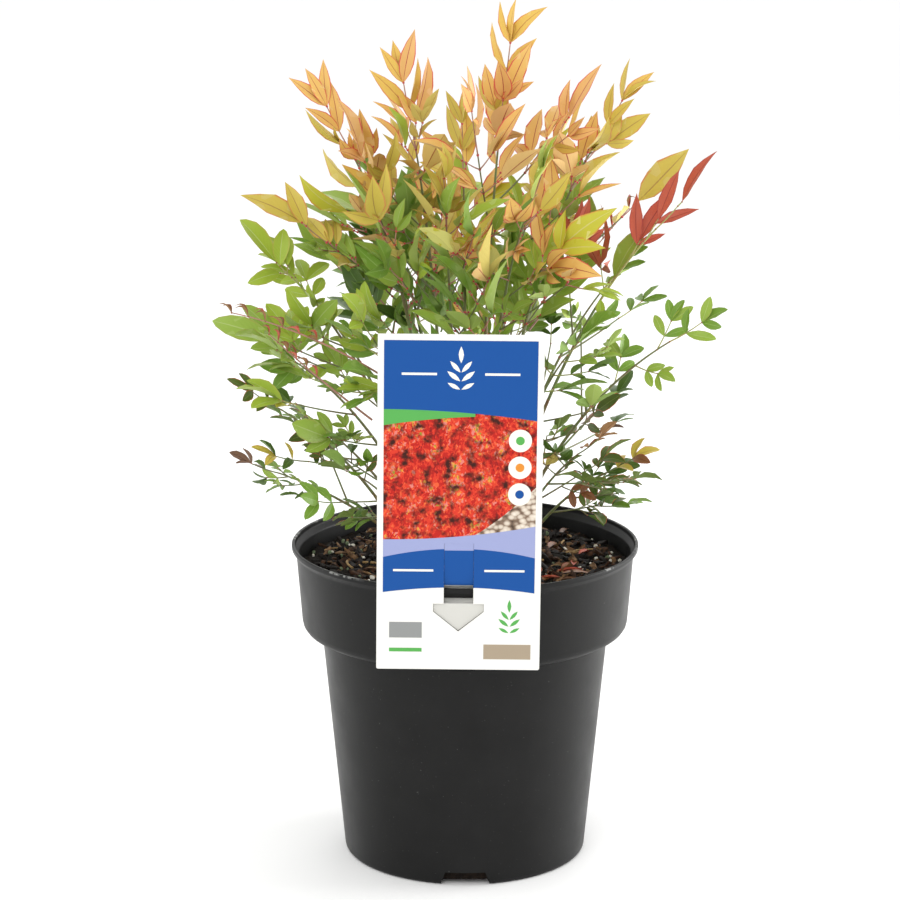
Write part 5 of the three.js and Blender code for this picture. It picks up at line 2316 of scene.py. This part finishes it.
    def leaflet(self, stalks: Sprays, turn: Array, slim: float) -> None:
        """Sets one leaflet on each of some stalks.

        Args:
            stalks: the stalks, each with its leaflet's length.
            turn: angles to the stalks in degrees.
            slim: breadth as a share of length.
        """
        size, tints = stalks.length, stalks.tints
        direction = turned(stalks.ahead, stalks.normal, np.radians(turn))
        flat = unit(np.cross(stalks.normal, direction))
        lifted = turned(direction, flat, np.radians(self.draw(size, -self.LEAN, self.LEAN)))
        rolled = turned(flat, lifted, np.radians(self.draw(size, -self.ROLL, self.ROLL)))
        rare = self.draw(size, 0, 1) < self.RARE
        self.leaflets.append(Blades(
            root=stalks.root, direction=lifted, across=rolled, length=size,
            breadth=size * slim * self.draw(size, *self.BROAD),
            arch=self.draw(size, *self.plan.arch), fold=self.draw(size, *self.plan.fold),
            sway=self.draw(size, -self.SWAY, self.SWAY), tint=np.where(rare, tints[:, 1], tints[:, 0]),
        ))

    def stalk(self, root: Array, heading: Array, reach: Array) -> Array:
        """Adds stalks as slightly sagging paths of a few points.

        Args:
            root: where they start.
            heading: their directions.
            reach: their lengths.

        Returns:
            Where they end.
        """
        t = np.linspace(0, 1, self.STALK_RINGS)[:, None]
        end = root + heading * reach[:, None]
        sag = -UP * (reach[:, None, None] * self.SAG * t * (1 - t))
        self.stalks.append(lerp(root[:, None], end[:, None], t) + sag)
        return self.stalks[-1][:, -1]

    def divide(self, places: Sequence[Spray], owners: Sequence[Shoot]) -> None:
        """Makes fine sprays of some, those at the tops of tall shoots among them, and trios of the rest.

        Args:
            places: where the rule sets them.
            owners: their shoots.
        """
        ends = {id(one) for shoot in self.shoots for one in shoot.fronds[0].sprays[:1] if self.tier is TALL}
        top = np.array([one.number == 0 and id(one) in ends for one in places])
        listed = np.array([owner.index in FINE_SHOOTS for owner in owners])
        airy = np.array([owner.tint is Tint.CORAL for owner in owners])
        fine = listed | top | ~airy & (self.draw(airy, 0, 1) < self.plan.fine)
        self.pinnate(self.sprays.only(fine))
        self.trio(self.sprays.only(~fine & airy), AIRY_PAIRED, 0.0)
        self.trio(self.sprays.only(~fine & ~airy), self.plan.paired, self.plan.forked)

    def pinnate(self, sprays: Sprays) -> None:
        """Runs a stalk on through two pairs of small leaflets to one at its end.

        Args:
            sprays: the fine sprays.
        """
        plan, draw, length = self.plan, self.draw, sprays.length
        end = self.stalk(sprays.root, sprays.ahead, length * FINE_STALK)
        middle = self.stalks[-1][:, 2]
        last = replace(sprays, root=end, length=length * (1 - FINE_STALK) * draw(length, 0.95, 1.08))
        self.leaflet(last, draw(length, -6, 6), plan.slim[1])
        for node in (middle, end):
            for side in (-1, 1):
                turn = side * plan.opening * draw(length, 0.75, 1.25)
                size = length * plan.small * draw(length, 0.72, 1.08)
                self.leaflet(replace(sprays, root=node, length=size), turn, plan.slim[1])

    def trio(self, sprays: Sprays, paired: float, forked: float) -> None:
        """Sets one to three large leaflets at the end of a stalk, and one on each side stalk.

        Args:
            sprays: the sprays.
            paired: chance of each side leaflet.
            forked: chance of each side stalk.
        """
        plan, draw, slim = self.plan, self.draw, self.plan.slim[0]
        root, ahead, length = sprays.root, sprays.ahead, sprays.length
        node = draw(root, *plan.node)
        end = self.stalk(root, ahead, length * node)
        neck = self.stalk(end, ahead, length * NECK)
        size, turn = length * (1 - node - NECK), draw(root, -4, 4)
        self.leaflet(replace(sprays, root=neck, length=size * draw(root, 0.92, 1.08)), turn, slim)
        for side in (-1, 1):
            here = draw(root, 0, 1) < paired
            turn = side * plan.spread * draw(root, 0.75, 1.25)
            pair = replace(sprays, root=end, length=size * plan.pair * draw(root, 0.7, 1.2))
            self.leaflet(pair.only(here), turn[here], slim)
            forks = sprays.only(draw(root, 0, 1) < forked)
            reach, above = forks.length, forks.normal
            turn = side * plan.fork_turn * draw(reach, 0.85, 1.15)
            heading = turned(forks.ahead, above, np.radians(turn))
            heading = unit(heading + above * draw(reach, -0.2, 0.2)[:, None])
            foot = forks.root + forks.ahead * (reach * plan.fork)[:, None]
            tip = self.stalk(foot, heading, reach * plan.stalk)
            size_here = reach * plan.side * draw(reach, 0.85, 1.1)
            self.leaflet(replace(forks, root=tip, ahead=heading, length=size_here), draw(reach, -6, 6), slim)

    def fill(
        self, limbs: Sequence[Frond | Shoot], t: float, turn: Sequence[float], size: Sequence[float],
        forked: float,
    ) -> None:
        """Sets one more spray on each of some limbs, between those that the rule has placed.

        Args:
            limbs: fronds or whole shoots.
            t: where along each.
            turn: least and greatest angle to it in degrees.
            size: least and greatest length, as a share of the tier's leaf.
            forked: chance of each side stalk.
        """
        owners = [limb.shoot if isinstance(limb, Frond) else limb for limb in limbs]
        root = np.array([limb.curve.point(t) for limb in limbs])
        ahead = np.array([limb.curve.tangent(t) for limb in limbs])
        rolls = [limb.roll + self.FILL_ROLL * t for limb in limbs]
        across = np.array([limb.curve.flank(t, limb.side, roll) for limb, roll in zip(limbs, rolls)])
        normal = self.lit(root, ahead, across, self.plan.to_light)
        tints = np.array([self.deal(*pair) for pair in zip(owners, root)])
        heading = turned(ahead, normal, np.radians(self.draw(root, *turn)))
        length = self.tier.leaf * self.draw(root, *size)
        self.trio(Sprays(root, heading, normal, length, tints), self.FILL_PAIRED, forked)

    def limbs(
        self, limbs: Sequence[Frond | Shoot], radii: Sequence[float], rings: int, around: int,
    ) -> Surface:
        """Carries a taper along part of each limb, with older bark below and younger above.

        Args:
            limbs: fronds or whole shoots.
            radii: its radius at both ends.
            rings: rings along it.
            around: points in a ring.

        Returns:
            The limbs as one surface.
        """
        t = np.linspace(0, 1, rings)
        path = np.array([limb.curve.point(lerp(limb.stem_start, 1, t)) for limb in limbs])
        radius = np.broadcast_to(lerp(*radii, t)[:, None], (rings, around))
        old = path[:, :-1, 2, None] < self.tier.older_below + self.BARK_ABOVE
        bark = np.where(old, OLD_STEM, self.plan.stem)
        return tubes(path, np.array([limb.side for limb in limbs]), radius, bark)

    def twigs(self) -> Surface:
        """Makes stems, rachises and stalks, each a tapering tube, and a knob at each joint.

        Returns:
            All of them as one surface.
        """
        side_fronds = [frond for frond in self.fronds if frond.is_side]
        stem_radii = (self.tier.tip_radius * Canes.slender, self.STEM_TIP)
        parts = [
            self.limbs(self.shoots, stem_radii, *self.STEM_MESH),
            self.limbs(side_fronds, self.RACHIS_RADII, *self.RACHIS_MESH),
        ]
        rings = self.STALK_RINGS
        taper = np.broadcast_to(np.linspace(*self.STALK_RADII, rings)[:, None], (rings, rings))
        for path in self.stalks:
            flank = unit(np.cross(path[:, 1] - path[:, 0], self.FLANK))
            parts.append(tubes(path, flank, taper, self.plan.stem))
        forks = np.concatenate([path[:, -1] for path in self.stalks])
        feet = np.array([frond.curve.start for frond in side_fronds])
        joints = [forks, self.sprays.root, feet]
        radii = np.repeat(self.plan.knobs, [len(spots) for spots in joints])
        knobs = beads(np.concatenate(joints), radii, np.full(len(radii), self.plan.joint))
        return Surface.join([*parts, knobs])

    def leaves(self) -> Surface:
        """Makes the leaflets, of which the coral ones are slender and drawn out like young ones.

        Returns:
            The leaflets as one surface.
        """
        rows = Blades.join(self.leaflets)
        coral = rows.tint == CORAL
        rows.breadth = np.where(coral, CORAL_SLIM, 1.0) * rows.breadth
        groups = ((~coral, self.plan.blade), (coral, YOUNG_BLADE))
        return Surface.join([rows.only(group).surface(blade) for group, blade in groups if group.any()])

    def build(self) -> list[bpy.types.Object]:
        """Makes the tier's twigs and leaves, which stand for its foliage solids.

        Returns:
            Both pieces.
        """
        name = self.tier.name
        nodes = [f"{name}_foliage_{i + 1}" for i in range(len(self.shoots))]
        return [
            make_piece(f"{name}_twigs", self.twigs(), TWIG_FINISHES, "cane", nodes),
            make_piece(f"{name}_leaves", self.leaves(), LEAF_FINISHES, self.tier.slot, nodes),
        ]


@dataclass
class NewShoots:
    """Thin reddish shoots that are just opening, with small leaflets still curled."""

    paths: tuple[tuple[Sequence[float], ...], ...] = (
        ((-34, -58, 288), (-82, -78, 326), (-128, -75, 335)),
        ((-52, -62, 272), (-84, -74, 300), (-108, -70, 322)),
        ((38, 52, 300), (74, 84, 340), (98, 92, 366)),
        ((-30, 70, 290), (-62, 102, 322), (-84, 108, 350)),
    )
    pairs: int = 6
    seed: int = 63
    # Least and greatest length, breadth, arch, fold and sway of a leaflet.
    spans: tuple[tuple[float, float], ...] = ((6, 12), (1.8, 3), (0.5, 1.3), (0.3, 0.9), (-0.4, 0.4))

    def build(self) -> list[bpy.types.Object]:
        """Makes the arching stems, and pairs of curled leaflets over their outer halves.

        Returns:
            Both pieces.
        """
        rng = np.random.default_rng(self.seed)
        bends = [Bend(*(np.array(spot, dtype=float) for spot in path)) for path in self.paths]
        t = np.linspace(0, 1, 26)
        path = np.array([bend.point(t) for bend in bends])
        radius = np.broadcast_to(lerp(0.65, 0.3, t)[:, None], (26, 6))
        places = np.linspace(0.5, 1, self.pairs)
        roots = np.concatenate([bend.point(places) for bend in bends])
        along = unit(np.concatenate([bend.point(places) - bend.point(places - 0.02) for bend in bends]))
        knobs = beads(roots, np.full(len(roots), 0.6), np.full(len(roots), BROWN_JOINT))
        stems = tubes(path, np.broadcast_to(UP, (len(bends), 3)), radius, YOUNG_STEM)
        flat, count = unit(np.cross(UP, along)), len(roots)
        parts = []
        for side in (-1, 1):
            aside, lift = rng.uniform(0.4, 0.9, (count, 1)), rng.uniform(-0.1, 0.7, (count, 1))
            direction = unit(along + flat * side * aside + UP * lift)
            sizes = [rng.uniform(*span, count) for span in self.spans]
            tint = rng.choice([TINTS.index(Tint.BRONZE), CORAL], count, p=[0.65, 0.35])
            parts.append(Blades(roots, direction, unit(np.cross(UP, direction)), *sizes, tint))
        leaves = Blades.join(parts).surface(YOUNG_BLADE)
        return [
            make_piece("new_shoot_stems", Surface.join([stems, knobs]), TWIG_FINISHES, "cane"),
            make_piece("new_shoot_leaves", leaves, LEAF_FINISHES, "young_leaf"),
        ]


@dataclass
class Canes:
    """The bare lower stems, ringed with the scars of old leaves and ridged along."""

    shoots: list[Shoot]
    slender: float = 0.64
    sunk: float = 4.0
    spacing: float = 17.0
    ridges: int = 5
    rings: int = 70
    around: int = 15
    seed: int = 23
    finishes: tuple[Finish, ...] = (
        Mottled("old_bark", "#7a6146", 0.75, 0.6, 0.18, 0.3, "#4c3a2a", 2.5, (1, 1, 0.2)),
        Mottled("green_bark", "#6f6f42", 0.6, 0.6, 0.1, 0.4, "#7a5a3e", 4.0, (1, 1, 0.25)),
    )

    SCAR_RISE, SCAR_WIDTH, RIDGE_RISE, RIDGE_PHASE = 0.22, 1.1, 0.05, 9
    YOUNG_ABOVE, RUN_ON = 0.55, 0.004  # shares of a cane and of its shoot

    def build(self) -> bpy.types.Object:
        """Carries a ridged, ringed section up each shoot: r (1 + ridges + rings).

        Returns:
            All the canes as one piece.
        """
        rng = np.random.default_rng(self.seed)
        t = np.linspace(0, 1, self.rings)
        paths = np.array([shoot.curve.point(t * (shoot.tier.bare + self.RUN_ON)) for shoot in self.shoots])
        paths[:, 0] -= UP * self.sunk
        run = np.linalg.norm(np.diff(paths, axis=1), axis=2).cumsum(axis=1)
        run = np.concatenate([np.zeros((len(paths), 1)), run], axis=1)
        phase = rng.uniform(0, 1, (len(paths), 1))
        off = (run / self.spacing + phase + 0.5) % 1 - 0.5
        scars = self.SCAR_RISE * np.exp(-(off * self.spacing / self.SCAR_WIDTH) ** 2)
        angle = circle(self.around)
        ridged = self.RIDGE_RISE * np.cos(self.ridges * angle + self.RIDGE_PHASE * phase[..., None])
        base = np.array([lerp(shoot.tier.cane_radius, shoot.tier.tip_radius, t) for shoot in self.shoots])
        radius = self.slender * base[..., None] * (1 + scars[..., None] + ridged)
        young = (t[:-1] > self.YOUNG_ABOVE)[None, :, None].astype(int)
        sides = np.array([shoot.side for shoot in self.shoots])
        names = [f"{tier.name}_cane_{i + 1}" for tier in (TALL, MIDDLE, LOW)
                 for i in range(sum(shoot.tier is tier for shoot in self.shoots))]
        return make_piece("canes", tubes(paths, sides, radius, young), self.finishes, "cane", names)


# ---------- studio ----------


@dataclass(frozen=True)
class SoftLight:
    """A square soft light: its place and aim in metres, its side in metres and its power in watts."""

    name: str
    place: tuple[float, float, float]
    aim: tuple[float, float, float]
    side: float
    power: float

    def build(self) -> None:
        """Hangs the light."""
        data = bpy.data.lights.new(self.name, "AREA")
        data.size, data.energy = self.side, self.power
        lamp = bpy.data.objects.new(self.name, data)
        lamp.location = self.place
        lamp.rotation_euler = (Vector(self.aim) - Vector(self.place)).to_track_quat("-Z", "Y").to_euler()
        bpy.context.scene.collection.objects.link(lamp)


@dataclass
class Studio:
    """A pale floor, soft light from all round, and the camera."""

    floor_radius: float = 14000.0
    floor_depth: float = 8.0
    world: float = 1.03
    camera_place: tuple[float, float, float] = (-0.0087, -1.716, 0.6525)
    camera_down: float = 13.52
    lens: float = 122.3
    sensor: float = 36.0
    lights: tuple[SoftLight, ...] = (
        SoftLight("front_light", (-0.7, -1.9, 1.5), (0, 0, 0.3), 1.4, 15),
        SoftLight("left_light", (-1.5, 0.4, 0.45), (0, 0, 0.12), 1.2, 4),
        SoftLight("right_light", (1.5, 0.3, 0.4), (0, 0, 0.1), 1.0, 22),
        SoftLight("back_light", (0.4, 1.6, 1.4), (0, 0, 0.35), 1.2, 6),
    )

    def floor(self) -> None:
        """Lays a wide thin disc under the pot."""
        finish = Finish("studio_floor", "#fdfdfc", 0.8, 6, 0.02, 0.2)
        reach, deep = self.floor_radius, self.floor_depth
        disc = lathe(np.array([(0, -deep), (reach, -deep), (reach, 0), (0, 0)]), 96)
        mesh = bpy.data.meshes.new("studio_floor")
        faces = [[corner for corner in face if corner >= 0] for face in disc.faces.tolist()]
        mesh.from_pydata((disc.points * MM).tolist(), [], faces)
        mesh.materials.append(finish.material())
        floor = bpy.data.objects.new("studio_floor", mesh)
        bpy.context.scene.collection.objects.link(floor)

    def build(self) -> None:
        """Sets up the floor, the world, the lights and the camera."""
        scene = bpy.context.scene
        scene.view_settings.view_transform = "Standard"
        self.floor()
        scene.world = bpy.data.worlds.new("studio")
        scene.world.use_nodes = True
        backdrop = scene.world.node_tree.nodes["Background"]
        backdrop.inputs["Color"].default_value = (1, 1, 1, 1)
        backdrop.inputs["Strength"].default_value = self.world
        for light in self.lights:
            light.build()
        data = bpy.data.cameras.new("camera")
        data.lens, data.sensor_width = self.lens, self.sensor
        camera = bpy.data.objects.new("camera", data)
        camera.location = self.camera_place
        camera.rotation_euler = (math.radians(90 - self.camera_down), 0, 0)
        scene.collection.objects.link(camera)
        scene.camera = camera


def main() -> None:
    """Builds the studio, the pot, the mix, the label and the plant."""
    logging.basicConfig(level=logging.INFO, format="%(name)s: %(message)s")
    Studio().build()
    pot = Pot()
    pot.build()
    mix = PottingMix(pot)
    mix.build()
    label = Label(pot)
    label.build()
    shoots = Growth(mix.top, label).grow()
    Canes(shoots).build()
    NewShoots().build()
    for seed, tier in enumerate((TALL, MIDDLE, LOW)):
        Foliage(tier, [shoot for shoot in shoots if shoot.tier is tier], seed + 5).build()


if __name__ == "__main__":
    main()
